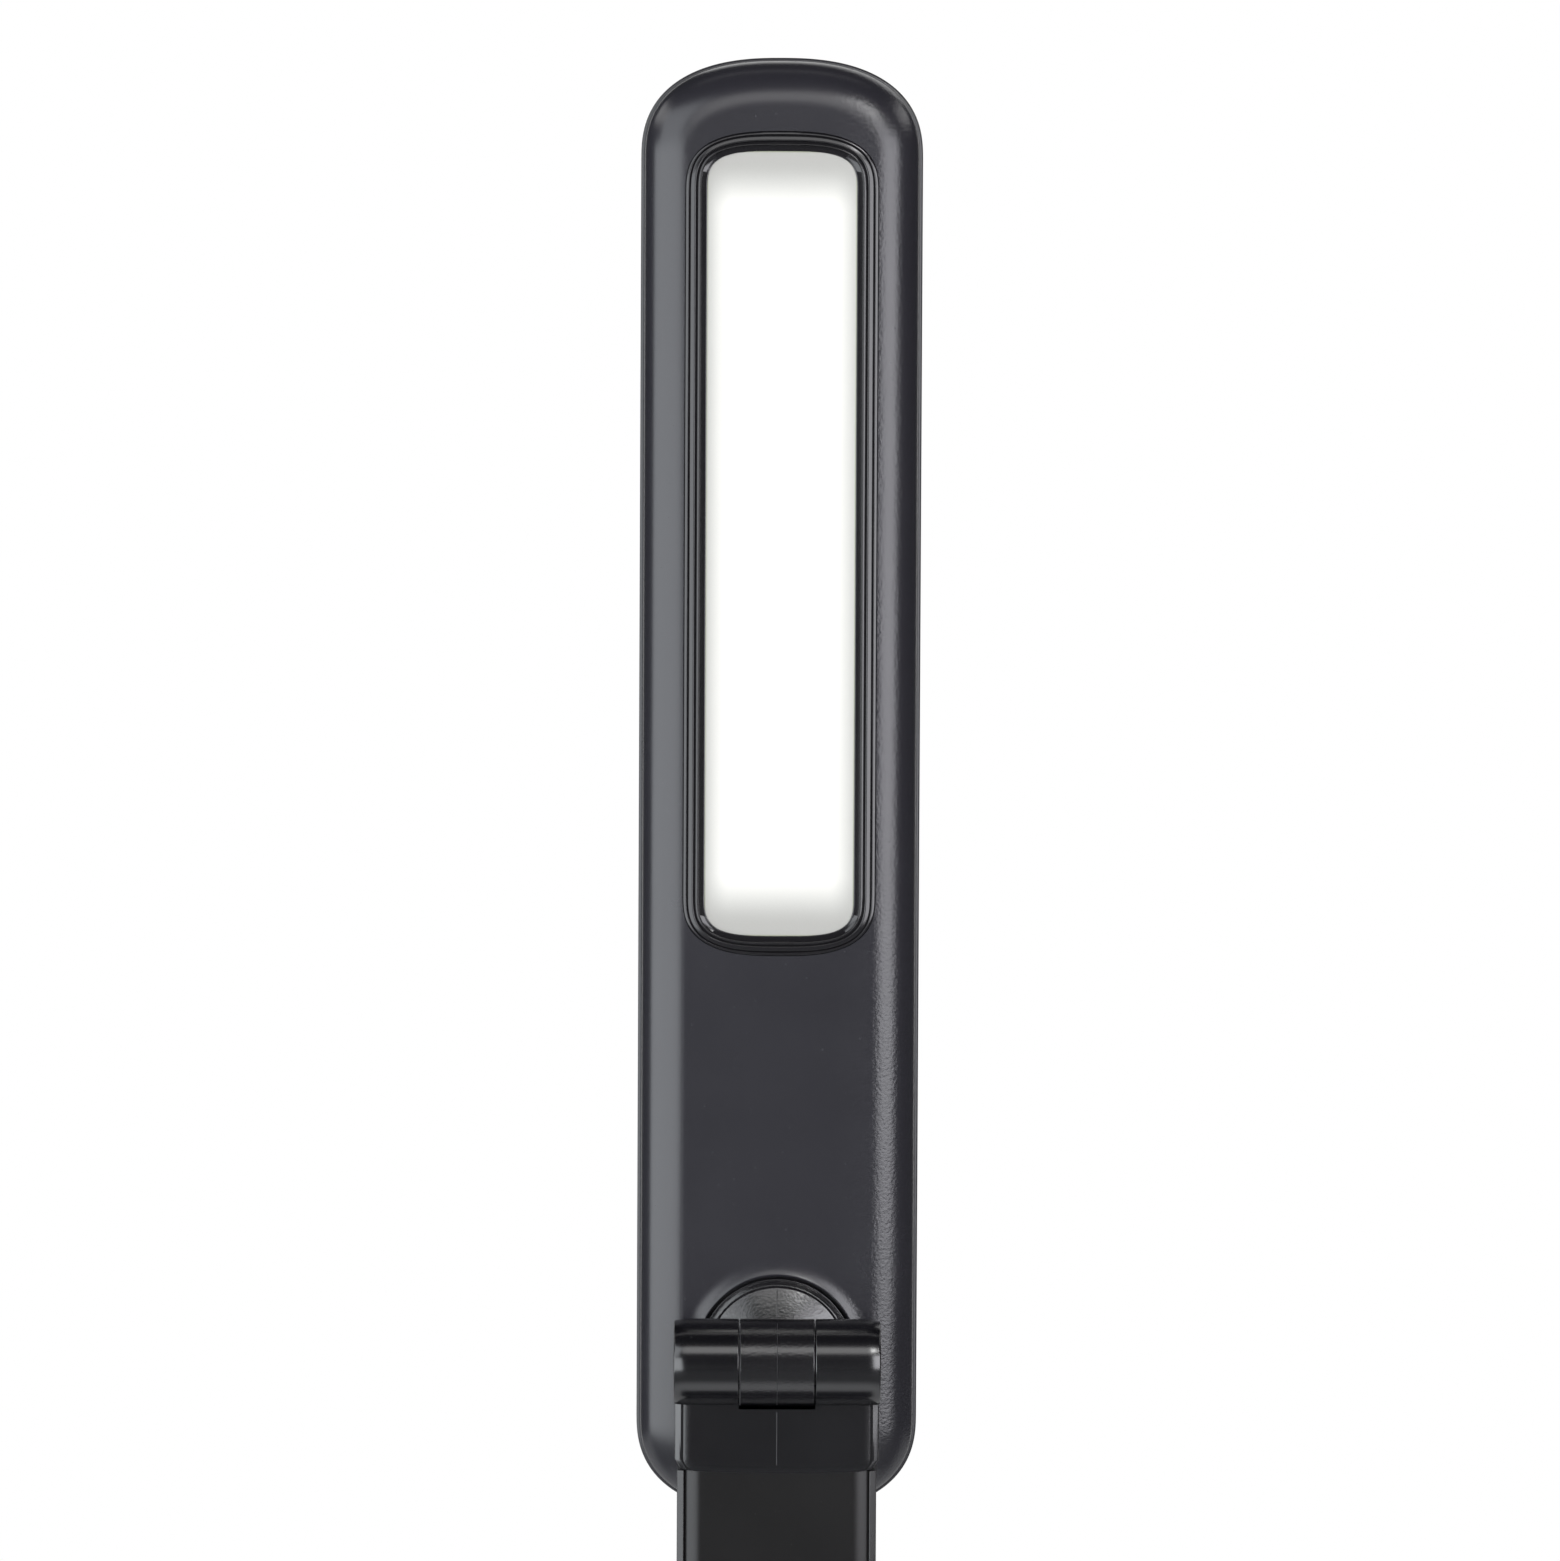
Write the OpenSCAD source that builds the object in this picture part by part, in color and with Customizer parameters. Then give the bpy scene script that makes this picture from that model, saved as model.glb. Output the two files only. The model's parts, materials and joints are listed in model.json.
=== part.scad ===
// Folding LED desk lamp: a weighted base, a folding arm and a long head that tilts and swivels.
// Millimetres, +Z up, front towards -Y, origin on the floor under the middle of the base.
// It is drawn unfolded: the arm stands upright and the head carries on straight above it.

/* [Head] */
// Width of the head
head_w = 60.5; // [56:0.5:66]
// Length of the head, end to end
head_l = 314; // [300:1:330]
// Height of the rounded end of the head
head_cap = 21.5; // [19:0.5:26]
// How square the rounded ends are: 2 is an ellipse
head_power = 2.45; // [2:0.05:3]
// Distance from the tilt axis down to the head's lower end
head_tail = 35.4; // [30:0.2:38]
// Distance from the tilt axis back to the head's face
face_offset = 11; // [11:0.2:14]
// Depth of the front housing, from its face to the back cover
front_depth = 9; // [9:0.25:12]
// Depth of the back cover
back_depth = 5.5; // [5.5:0.25:8]
// Width of the rolled shoulder round the front face
shoulder_w = 9.8; // [7:0.2:11]
// Width of the rolled edge round the back cover
back_roll = 4.2; // [2:0.2:6]
// Straight rim of each shell beside the parting line
rim_h = 1.2; // [0.6:0.1:2]
// How far the back cover stands out past the front housing
rim_lip = 0.75; // [0:0.05:1.2]
// Wall of the head's shells
head_wall = 1.6; // [1.2:0.1:2]
// Height of the back cover's locating rib
spigot_h = 1.4; // [0.8:0.1:2.5]
// Thickness of the back cover's locating rib
spigot_t = 1; // [0.8:0.1:1.5]

/* [Light] */
// Distance between the head's screws along the window
head_screw_pitch = 70; // [60:1:74]
// Width of the lit window
window_w = 32; // [28:0.5:34]
// Length of the lit window
window_l = 167.4; // [150:0.2:172]
// Height of the window's rounded end
window_cap = 9; // [7:0.5:12]
// How square the window's ends are
window_power = 3.6; // [2.5:0.1:4.5]
// Distance from the head's upper end to the window
window_drop = 20.6; // [19:0.1:30]
// Width of the bezel beside the window
bezel_side = 4.7; // [4.4:0.1:5.5]
// Width of the bezel at the ends of the window
bezel_end = 4.2; // [3.8:0.1:5]
// How much rounder the bezel's outer edge is than the window
bezel_rounding = 0.8; // [0.4:0.1:1]
// How far the bezel's beads stand proud of the face
bezel_proud = 0.4; // [0:0.05:0.8]
// Thickness of the bezel's inner edge over the diffuser
bezel_edge = 0.2; // [0.1:0.05:0.3]
// Width of the sloped wall inside the bezel
bezel_slope = 1.4; // [0.8:0.1:1.8]
// Depth of the bezel's seat in the front housing
seat_depth = 2.6; // [2.2:0.1:3]
// Thickness of the diffuser
diffuser_t = 1.2; // [0.8:0.1:1.4]
// How far the diffuser reaches under the bezel
diffuser_tuck = 0.5; // [0.3:0.05:0.6]
// How far the housing reaches in under the diffuser
diffuser_ledge = 0.6; // [0.4:0.1:1]
// Wall of the reflector tray
tray_wall = 1; // [0.8:0.1:1.2]
// Width of the field of light chips
field_w = 18; // [14:0.5:20]
// Length of the field of light chips
field_l = 150; // [120:1:152]
// Width of the light board
led_board_w = 24; // [23:0.5:26]
// Length of the light board above and below the field
led_board_end = 9; // [8:0.5:10]
// Extra length of the light board at its connector
led_board_tab = 10; // [9:0.5:14]
// Thickness of the light board
led_board_t = 1; // [0.8:0.1:1.6]
// Height of the posts under the light board
led_post_h = 2.2; // [1.5:0.1:3]
// Light chips along the board
chip_rows = 14; // [8:1:16]
// Width of a light chip
chip_w = 2.8; // [2:0.1:3.5]
// Length of a light chip
chip_l = 3.5; // [2:0.1:5]
// Height of a light chip
chip_h = 0.7; // [0.5:0.1:1]

/* [Swivel] */
// Diameter of the swivel disc
disc_d = 33.2; // [30:0.2:38]
// Thickness of the swivel disc
disc_t = 2.5; // [2:0.1:3]
// How far the disc's raised ring stands proud of the face
disc_proud = 0.4; // [0:0.1:0.8]
// Distance from the disc's edge in to its raised ring
disc_ring_inset = 1.7; // [1.4:0.1:2.4]
// Width of the disc's raised ring
disc_ring_w = 0.8; // [0.5:0.1:1.2]
// Height of the sloped step on each side of the raised ring
disc_step = 0.3; // [0.2:0.05:0.4]
// How far the disc's middle is dished below its raised ring
disc_dish = 0.6; // [0.3:0.05:0.8]
// How far the swivel axis lies below the tilt axis
disc_drop = 0; // [0:0.1:2]
// Width of the open ring round the disc
disc_gap = 0.7; // [0.4:0.1:1]
// Radius of the rounded lip of the disc's pocket
pocket_round = 2.4; // [1:0.1:2.4]
// Thickness of the pocket's floor
pocket_floor_t = 2; // [1.6:0.1:2.4]
// Diameter of the swivel's hub
hub_d = 16; // [14:0.2:17]
// Diameter of the wire way through the hub
hub_bore_d = 8; // [6:0.2:8.4]
// Thickness of the glide ring under the disc
glide_t = 0.4; // [0.3:0.05:0.8]
// Thickness of the spring washer inside the head
swivel_spring_t = 0.9; // [0.6:0.05:1.2]
// Thickness of the retaining plate
retainer_t = 1.5; // [1.2:0.1:2]
// Diameter of the retaining plate
retainer_d = 27; // [26.6:0.2:28]
// Diameter of the stop post
stop_d = 2; // [1.6:0.1:2.2]
// Play between the stop post and the retaining plate
stop_play = 0.4; // [0.2:0.1:0.5]
// Width of the retaining plate's rim outside the stop post
stop_rim = 0.7; // [0.5:0.1:1]
// Swivel angle each way from straight
swivel_half_turn = 90; // [60:5:110]

/* [Hinges] */
// Diameter of the hinge barrels
barrel_d = 18.6; // [17.6:0.2:19.4]
// Width of the hinge barrels
barrel_w = 44; // [44:0.5:48]
// Width of the middle knuckle
knuckle_w = 16; // [14:0.5:16]
// Rounded corner at the barrel's ends
barrel_edge = 1.3; // [0.4:0.1:1.4]
// Height of the neck between a knuckle and what it carries
neck_h = 10.6; // [8:0.2:10.8]
// Diameter of the hinge bolts
bolt_d = 5; // [4:0.1:5.2]
// Diameter of a bolt's head
bolt_head_d = 9; // [8:0.2:10]
// Height of a bolt's head
bolt_head_h = 3; // [2.4:0.1:3.4]
// Wall between the round wire way and the bore of the bolt's head
bolt_wall = 2.8; // [2:0.1:3]
// How far a bolt's end stands out of its nut
bolt_end = 0.6; // [0:0.1:0.8]
// Distance across the corners of a hinge nut
nut_d = 9.2; // [8.4:0.1:10.4]
// Thickness of a hinge nut
nut_t = 4; // [3:0.1:4.2]
// Diameter of the bores that hold the bolt's head and the nut
counterbore_d = 12.6; // [12:0.1:13]
// Thickness of one spring washer
spring_washer_t = 0.8; // [0.6:0.05:0.9]
// Spring washers under a nut
spring_washers = 2; // [1:1:2]
// Thickness of a friction washer
friction_washer_t = 0.85; // [0.6:0.05:1.2]
// Diameter of a friction washer
friction_washer_d = 9.4; // [8:0.1:9.4]
// Outer diameter of the round wire way in a knuckle
wire_way_d = 15.8; // [15:0.1:16]
// Depth of the round wire way
wire_way_depth = 5; // [4:0.1:5]
// Diameter of the wire hole in a middle knuckle
wire_hole_d = 2.6; // [2:0.1:2.8]
// Thickness of the cap that closes a barrel
hinge_cap_t = 1.4; // [1:0.1:1.6]
// Bevelled edge of the cap that closes a barrel
hinge_cap_edge = 0.3; // [0.1:0.05:0.5]

/* [Arm] */
// Distance between the two tilt axes
arm_span = 340; // [320:1:360]
// Width of the arm
arm_w = 42.5; // [41:0.25:43]
// Distance from the tilt axes forward to the arm's front
arm_front = 3; // [2.8:0.1:4]
// Thickness of the arm
arm_t = 11.4; // [11:0.1:12]
// Side wall of the arm's channel
arm_side = 1.5; // [1.2:0.1:2]
// Back wall of the arm's channel
arm_back_wall = 1.8; // [1.6:0.1:2.2]
// Thickness of the front panel
panel_t = 1.6; // [1.2:0.1:1.8]
// Width of the bevel along the arm's front corners
arm_bevel = 1.3; // [0.6:0.1:1.3]
// Width of the eased edges of the front panel
panel_edge = 1.5; // [0.8:0.1:2]
// Depth of the eased edges of the front panel
panel_ease = 0.4; // [0.2:0.1:0.6]
// Thickness of the steel stiffener
stiffener_t = 2; // [1.5:0.1:2]
// Width of the steel stiffener
stiffener_w = 38; // [37:0.25:39]
// Diameter of the cable inside the arm
cable_d = 3; // [2:0.1:3]
// Room round the cable in the holes it passes
cable_room = 0.5; // [0.3:0.1:0.6]
// Screws that hold the front panel
panel_screws = 4; // [3:1:6]
// Distance from the middle of the arm out to the panel's screws
panel_screw_x = 16; // [15.5:0.1:16.2]
// Diameter of the panel's screw posts
panel_post_d = 6; // [5:0.1:6.4]

/* [Collars] */
// Width of the collars
collar_w = 43.5; // [43:0.25:44]
// Distance from a tilt axis to the far edge of its collar
collar_reach = 22.8; // [21:0.1:26]
// How far a collar stands proud of the arm's front and back
collar_proud = 0.2; // [0:0.05:0.3]
// Height of a collar's bevelled corner
collar_corner = 2.4; // [1:0.1:3]
// Width of a collar's bevelled corner
collar_corner_w = 1.5; // [0.6:0.1:2]
// Gap between a middle knuckle and the collar behind it
knuckle_relief = 1.2; // [0.9:0.1:1.5]
// Length of a collar's tongue inside the arm
tongue_l = 20; // [16:0.5:26]
// Width of a collar's tongue
tongue_w = 34; // [30:0.5:36]
// Distance between a tongue's two screws
tongue_screw_pitch = 12; // [10:0.5:13]

/* [Base] */
// Width of the base
base_w = 180; // [172:1:200]
// Depth of the base, front to back
base_d = 150; // [146:1:170]
// Height of the base's top above the floor
base_h = 20; // [20:0.5:24]
// Depth of the base's rounded ends
base_cap = 32; // [28:1:40]
// How square the base's corners are
base_power = 3.4; // [3:0.1:4]
// Rolled edge round the top of the base
base_edge = 6; // [4:0.5:8]
// Wall of the base cover
base_wall = 2.2; // [1.8:0.1:2.4]
// Distance from the base's rear edge forward to the hinge
hinge_setback = 37; // [37:0.5:41]
// Room between the base and the folded head
fold_gap = 1.5; // [1:0.1:4]
// Width of the hinge tower
tower_w = 44; // [40:0.5:44]
// Depth of the hinge tower
tower_d = 26; // [22:0.5:27]
// Width of the tower's flange
flange_w = 60; // [60:0.5:64]
// Depth of the tower's flange
flange_d = 40; // [38:0.5:40]
// Thickness of the tower's flange
flange_t = 3; // [2.4:0.1:3.4]
// Distance from the flange's edges in to its screws
flange_screw_inset = 5.5; // [4.5:0.1:6]
// Thickness of the bottom plate
bottom_t = 3; // [2.8:0.1:3.4]
// Distance from the base's sides in to the steel ballast plate
ballast_inset_x = 25; // [24:0.5:32]
// Distance from the base's front and rear edges in to the ballast plate
ballast_inset_y = 17; // [17:0.5:19]
// Thickness of the steel ballast plate
ballast_t = 5; // [4:0.1:5]
// Distance from the ballast plate's edges in to its screws
ballast_screw_inset = 8; // [7:0.5:10]
// Diameter of a rubber foot
foot_d = 18; // [14:0.5:20]
// How far the feet lift the bottom plate off the floor
foot_h = 1.6; // [1:0.1:2]
// Depth of a foot's seat in the bottom plate
foot_seat = 1.2; // [0.8:0.1:1.3]
// Bevelled lower edge of a foot
foot_edge = 0.4; // [0.2:0.1:0.8]
// Distance from the base's sides in to the middle of a foot
foot_inset_x = 18; // [16:0.5:19]
// Distance from the base's front and rear edges in to the middle of a foot
foot_inset_y = 19; // [18:0.5:22]
// Diameter of the cover's screw posts
base_post_d = 9; // [7:0.5:9]
// Length of the screws that hold the cover
base_screw_l = 9; // [8:0.5:11]

/* [Controls] */
// Length of the touch panel
touch_w = 96; // [80:1:110]
// Width of the touch panel
touch_d = 22; // [18:0.5:24]
// Depth of the touch panel's recess
touch_recess = 1.2; // [0.8:0.1:1.2]
// How far the touch panel stands proud of the base
touch_proud = 0.15; // [0:0.05:0.4]
// Distance from the base's front edge back to the middle of the touch panel
touch_setback = 27; // [23:0.5:27]
// Touch pads along the panel
touch_pads = 4; // [3:1:5]
// Distance between touch pads
touch_pitch = 15; // [12:0.5:17]
// Diameter of a touch pad's spring
touch_spring_d = 6; // [4:0.5:8]
// Height of a touch pad's spring
touch_spring_h = 3; // [2.5:0.1:4]
// Width of the touch board
touch_board_w = 90; // [90:1:100]
// Depth of the touch board
touch_board_d = 18; // [16:0.5:18]
// Thickness of the touch board
touch_board_t = 1.4; // [1:0.1:1.6]
// Distance from the touch board's ends in to its screws
touch_screw_inset = 3.5; // [3:0.1:4]
// Thickness of the ribbon between the boards
ribbon_t = 0.4; // [0.2:0.05:0.6]

/* [Electronics] */
// Width of the driver board
driver_w = 84; // [80:1:100]
// Depth of the driver board
driver_d = 32; // [30:0.5:34]
// Thickness of the driver board
driver_t = 1.6; // [1.2:0.1:1.6]
// Gap between the hinge tower's flange and the driver board
driver_gap = 6; // [4:0.5:7]
// Height of the posts under the driver board
standoff_h = 3; // [2.4:0.1:3]
// Diameter of the posts under the driver board
standoff_d = 6; // [5:0.1:7]
// Distance from the driver board's edges in to its posts
standoff_inset = 4; // [3.5:0.1:4.5]
// Diameter of the driver's coil
coil_d = 9; // [7:0.5:10]
// Diameter of the driver's capacitors
capacitor_d = 6; // [5:0.5:7]
// Height of the coil and the capacitors
coil_h = 2.8; // [2:0.1:3]
// Width of the driver chip
driver_chip_w = 8; // [6:0.5:9]
// Height of the wire connectors
connector_h = 3; // [2.6:0.1:3.2]
// Width of the wire connectors
connector_w = 10; // [8:0.5:12]
// Depth of the wire connectors
connector_d = 4; // [3.5:0.1:4.5]
// Width of the power socket
jack_w = 9; // [9:0.1:11]
// Length of the power socket
jack_l = 12; // [11:0.1:12]
// Height of the power socket
jack_h = 10.5; // [10:0.1:11]
// Distance from the cover's rear wall in to the power socket
jack_setback = 0.9; // [0.8:0.1:1.5]
// Diameter of the power socket's opening
jack_bore_d = 6.3; // [5.5:0.1:6.5]
// Diameter of the power socket's pin
jack_pin_d = 2; // [1.6:0.1:2.5]
// Diameter of the collar round the power socket's opening
jack_nose_d = 8; // [7.6:0.1:8.6]
// How far the power socket's nose lies inside the cover's rear face
jack_recess = 0.3; // [0.2:0.1:0.6]
// Thickness of the wall behind the power socket's bore
jack_floor = 2.5; // [1.5:0.1:3]
// Diameter of the lead from the socket
lead_d = 2.4; // [1.6:0.1:2.4]
// Distance from the middle of the base across to the lead's plug
lead_x = 32; // [31:0.5:33]
// Width of the lead's plug
lead_plug_w = 6; // [5:0.1:7]
// Diameter of the two wires inside the head
harness_d = 1.2; // [0.8:0.1:1.4]

/* [Fasteners] */
// Diameter of the small screws in the head
small_screw_d = 1.7; // [1.4:0.1:1.8]
// Diameter of a small screw's head
small_head_d = 3.2; // [2.6:0.1:3.2]
// Height of a small screw's head
small_head_h = 0.8; // [0.6:0.1:0.9]
// Diameter of the screws in the arm and boards
medium_screw_d = 2.5; // [2:0.1:2.8]
// Diameter of a medium screw's head
medium_head_d = 4.6; // [4:0.1:5]
// Height of a medium screw's head
medium_head_h = 1; // [0.8:0.1:1.2]
// Diameter of the screws in the base
large_screw_d = 3.6; // [3:0.1:4]
// Diameter of a large screw's head
large_head_d = 6.6; // [6:0.1:7]
// Height of a large screw's head
large_head_h = 1; // [0.8:0.1:1.1]
// Width of the slots in the screw heads
slot_w = 0.6; // [0.4:0.05:0.8]

/* [Clearances] */
// Running clearance of a shaft in its bore, each side
run_fit = 0.05; // [0.03:0.01:0.1]
// Clearance between fixed parts that slip together
slip_fit = 0.1; // [0.05:0.01:0.15]
// Gap between the faces of neighbouring knuckles
knuckle_gap = 0.15; // [0.1:0.01:0.25]

/* [Hidden] */

$fn = 64;
// Corner points along each rounded end of an outline
cap_steps = 16;
// Steps across a rolled edge
roll_steps = 6;
// Sides of a wire
wire_sides = 10;
// How far a cut runs past the surface it opens
cut = 1;

// Heights of the axes
lower_z = base_h + fold_gap + face_offset + front_depth + back_depth;
upper_z = lower_z + arm_span;

// Two beads round the bezel with a groove between them and a step inside them, as shares of its
// band: 1 is its outer edge and 0 the window
outer_bead = [0.9, 0.78];
bezel_groove = [0.72, 0.62];
inner_bead = [0.54, 0.44];
bezel_step = 0.38;

// Levels in the head, measured forward from the tilt axis
face_z = -face_offset;
part_z = face_z - front_depth;
back_z = part_z - back_depth;
back_inner_z = back_z + head_wall;
seat_z = face_z - seat_depth;
seat_back_z = seat_z - head_wall;
led_board_z = back_inner_z + led_post_h;
tray_z = led_board_z + led_board_t;

// Levels in the swivel, measured forward from the tilt axis
disc_z = face_z + disc_proud;
disc_back_z = disc_z - disc_t;
pocket_z = disc_back_z - glide_t - 2 * run_fit;
pocket_back_z = pocket_z - pocket_floor_t;
hub_end_z = pocket_back_z - swivel_spring_t - 2 * run_fit;
retainer_z = hub_end_z - retainer_t;
stop_ring = retainer_d / 2 - stop_d / 2 - stop_rim;
swivel_spring_d = 2 * (stop_ring - stop_d / 2 - stop_play);

// Places along the head, measured up from the tilt axis
spigot_inset = rim_lip + head_wall + slip_fit;
head_mid = head_l / 2 - head_tail;
window_mid = head_l - head_tail - window_drop - window_l / 2;
head_screw_x = window_w / 2 + diffuser_tuck + 2 * slip_fit + small_head_d / 2;
led_edge = window_mid - field_l / 2 - led_board_end - led_board_tab;

// Hinge barrels
barrel_r = barrel_d / 2;
knuckle_half = knuckle_w / 2;
outer_knuckle = knuckle_half + knuckle_gap;
wire_ring = (wire_way_d + friction_washer_d) / 4;
nut_seat = outer_knuckle + wire_way_depth;
bolt_seat = nut_seat + bolt_wall;

// Arm, measured from the tilt axes
arm_back = arm_t - arm_front;
arm_bevel_depth = 0.45 * arm_bevel;
stiffener_y = arm_back - arm_back_wall - stiffener_t;
panel_inner = panel_t - arm_front;
panel_w = arm_w - 2 * arm_side - 2 * slip_fit;
tube_z = [lower_z + collar_reach, upper_z - collar_reach];
cable_x = -(outer_knuckle + wire_way_depth / 2);
cable_y = (panel_inner + stiffener_y) / 2;
tongue_mid = collar_reach + tongue_l / 2;

// Base, measured up from the floor
plate_top = foot_h + bottom_t;
ballast_top = plate_top + ballast_t;
flange_top = ballast_top + flange_t;
cover_inner = base_h - base_wall;
driver_z = ballast_top + standoff_h;
driver_top = driver_z + driver_t;
touch_board_top = cover_inner - touch_spring_h - slip_fit;
touch_board_z = touch_board_top - touch_board_t;
cable_exit_z = driver_top + connector_h / 2;
ribbon_socket_h = 2 * connector_h / 3;
jack_back = base_d / 2 - base_wall - jack_setback;
jack_axis_z = plate_top + jack_h / 2;

// Base, measured from its middle: the hinge lies behind it, the boards in front
hinge_y = base_d / 2 - hinge_setback;
ballast_w = base_w - 2 * ballast_inset_x;
ballast_d = base_d - 2 * ballast_inset_y;
foot_x = base_w / 2 - foot_inset_x;
foot_y = base_d / 2 - foot_inset_y;
touch_y = base_d / 2 - touch_setback;
driver_y = driver_d / 2 + driver_gap + flange_d / 2 - hinge_y;
driver_rear = driver_d / 2 - driver_y;
lead_plug_y = driver_rear - 1.25 * connector_d;

// ---------------------------------------------------------------- shapes

// A point of a squared-off ellipse with half-axes a and cap; its points gather at the corners
function cap_point(a, cap, power, angle) = [
    a * sign(cos(angle)) * pow(abs(cos(angle)), 2 / power),
    cap * sign(sin(angle)) * pow(abs(sin(angle)), 2 / power)
];

// A long outline with straight sides and rounded ends, centred, its length along Y
function outline(w, l, cap, power) = [
    for (end = [0, 1], i = [0 : cap_steps])
        let (p = cap_point(w / 2, cap, power, 180 * (end + i / cap_steps)))
        [p[0], p[1] + (end == 0 ? 1 : -1) * (l / 2 - cap)]
];

function head_outline(inset) =
    outline(head_w - 2 * inset, head_l - 2 * inset, head_cap - inset, head_power);

// The window's outline widened by a share of the bezel's band: 0 is the window, 1 the bezel
function band_outline(share, extra = 0) =
    outline(window_w + 2 * (share * bezel_side + extra),
            window_l + 2 * (share * bezel_end + extra),
            window_cap + share * bezel_end + extra, window_power - share * bezel_rounding);

function base_outline(inset) =
    outline(base_w - 2 * inset, base_d - 2 * inset, base_cap - inset, base_power);

// A solid through rings of points, each with count points, closed at both ends
module skin(points, count) {
    last = len(points) / count - 1;
    polyhedron(
        points = points,
        faces = concat(
            [[for (i = [0 : count - 1]) i]],
            [[for (i = [count - 1 : -1 : 0]) last * count + i]],
            [for (k = [0 : last - 1], i = [0 : count - 1])
                let (j = (i + 1) % count)
                [k * count + i, (k + 1) * count + i, (k + 1) * count + j, k * count + j]]
        ),
        convexity = 6
    );
}

// A solid through level outlines: each ring is [outline, height]
module loft(rings) {
    skin([for (ring = rings, p = ring[0]) [p[0], p[1], ring[1]]], len(rings[0][0]));
}

// A closed band through outlines: the rings go up the outside and come down the inside
module band(rings) {
    count = len(rings[0][0]);
    total = len(rings);
    polyhedron(
        points = [for (ring = rings, p = ring[0]) [p[0], p[1], ring[1]]],
        faces = [for (k = [0 : total - 1], i = [0 : count - 1])
            let (j = (i + 1) % count, up = (k + 1) % total)
            [k * count + i, up * count + i, up * count + j, k * count + j]],
        convexity = 6
    );
}

// A prism on an outline from one height to another
module prism(points, z0, z1) {
    translate([0, 0, z0]) linear_extrude(z1 - z0) polygon(points);
}

// A round bar along Z
module post(d, z0, z1) {
    translate([0, 0, z0]) cylinder(d = d, h = z1 - z0);
}

// A round bar along X
module bar_x(d, x0, x1) {
    translate([x0, 0, 0]) rotate([0, 90, 0]) cylinder(d = d, h = x1 - x0);
}

// A ring along X
module ring_x(d, bore, x0, x1) {
    difference() {
        bar_x(d, x0, x1);
        bar_x(bore, x0 - cut, x1 + cut);
    }
}

// A round bar along X whose end at x1 has a bevelled corner
module bevelled_bar_x(d, x0, x1, edge) {
    way = x1 > x0 ? 1 : -1;
    straight = x1 - way * edge;
    bar_x(d, min(x0, straight), max(x0, straight));
    translate([straight, 0, 0]) rotate([0, 90 * way, 0]) cylinder(d1 = d, d2 = d - 2 * edge, h = edge);
}

function unit(v) = v / norm(v);

// A round wire from point to point with mitred bends; level stays square to the route's plane
module wire(points, d, level) {
    last = len(points) - 1;
    skin([
        for (i = [0 : last])
            let (
                before = unit(points[max(i, 1)] - points[max(i, 1) - 1]),
                after = unit(points[min(i, last - 1) + 1] - points[min(i, last - 1)]),
                along = unit(before + after),
                up = unit(level - (level * along) * along),
                out = cross(along, up) / (before * along)
            )
            for (k = [0 : wire_sides - 1])
                let (a = 360 * k / wire_sides)
                points[i] + d / 2 * (cos(a) * up + sin(a) * out)
    ], wire_sides);
}

// A slotted pan-head screw: its head sits on Z = 0 and its shank points down
module screw(d, l, head_d, head_h) {
    difference() {
        union() {
            translate([0, 0, -l]) cylinder(d = d, h = l, $fn = 32);
            cylinder(d1 = head_d, d2 = head_d - head_h / 2, h = head_h, $fn = 32);
        }
        for (a = [0, 90]) rotate(a)
            translate([-head_d / 3, -slot_w / 2, head_h / 2]) cube([head_d / 1.5, slot_w, head_h]);
    }
}

// The head's own frame: X across, Y along the head, Z forward, at the upper tilt axis
module head_frame() {
    translate([0, hinge_y, upper_z]) rotate([90, 0, 0]) children();
}

module swivel_axis() {
    translate([0, -disc_drop, 0]) children();
}

// Hinge frames: the arm runs down from the upper axis, and up from the lower one
module upper_hinge() {
    translate([0, hinge_y, upper_z]) children();
}

module lower_hinge() {
    translate([0, hinge_y, lower_z]) mirror([0, 0, 1]) children();
}

// ---------------------------------------------------------------- head

// Rings of a shoulder that rolls from a rim in to a flat face
function shoulder(inset, width, z0, z1, rim) = concat(
    [[head_outline(inset), z0]],
    [for (k = [0 : roll_steps])
        let (a = 90 * k / roll_steps)
        [head_outline(inset + width * (1 - cos(a))), z0 + rim + (z1 - z0 - rim) * sin(a)]]
);

module head_screw_places() {
    for (x = [-1, 1], k = [-1, 0, 1])
        translate([x * head_screw_x, window_mid + k * head_screw_pitch, 0]) children();
}

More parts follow.
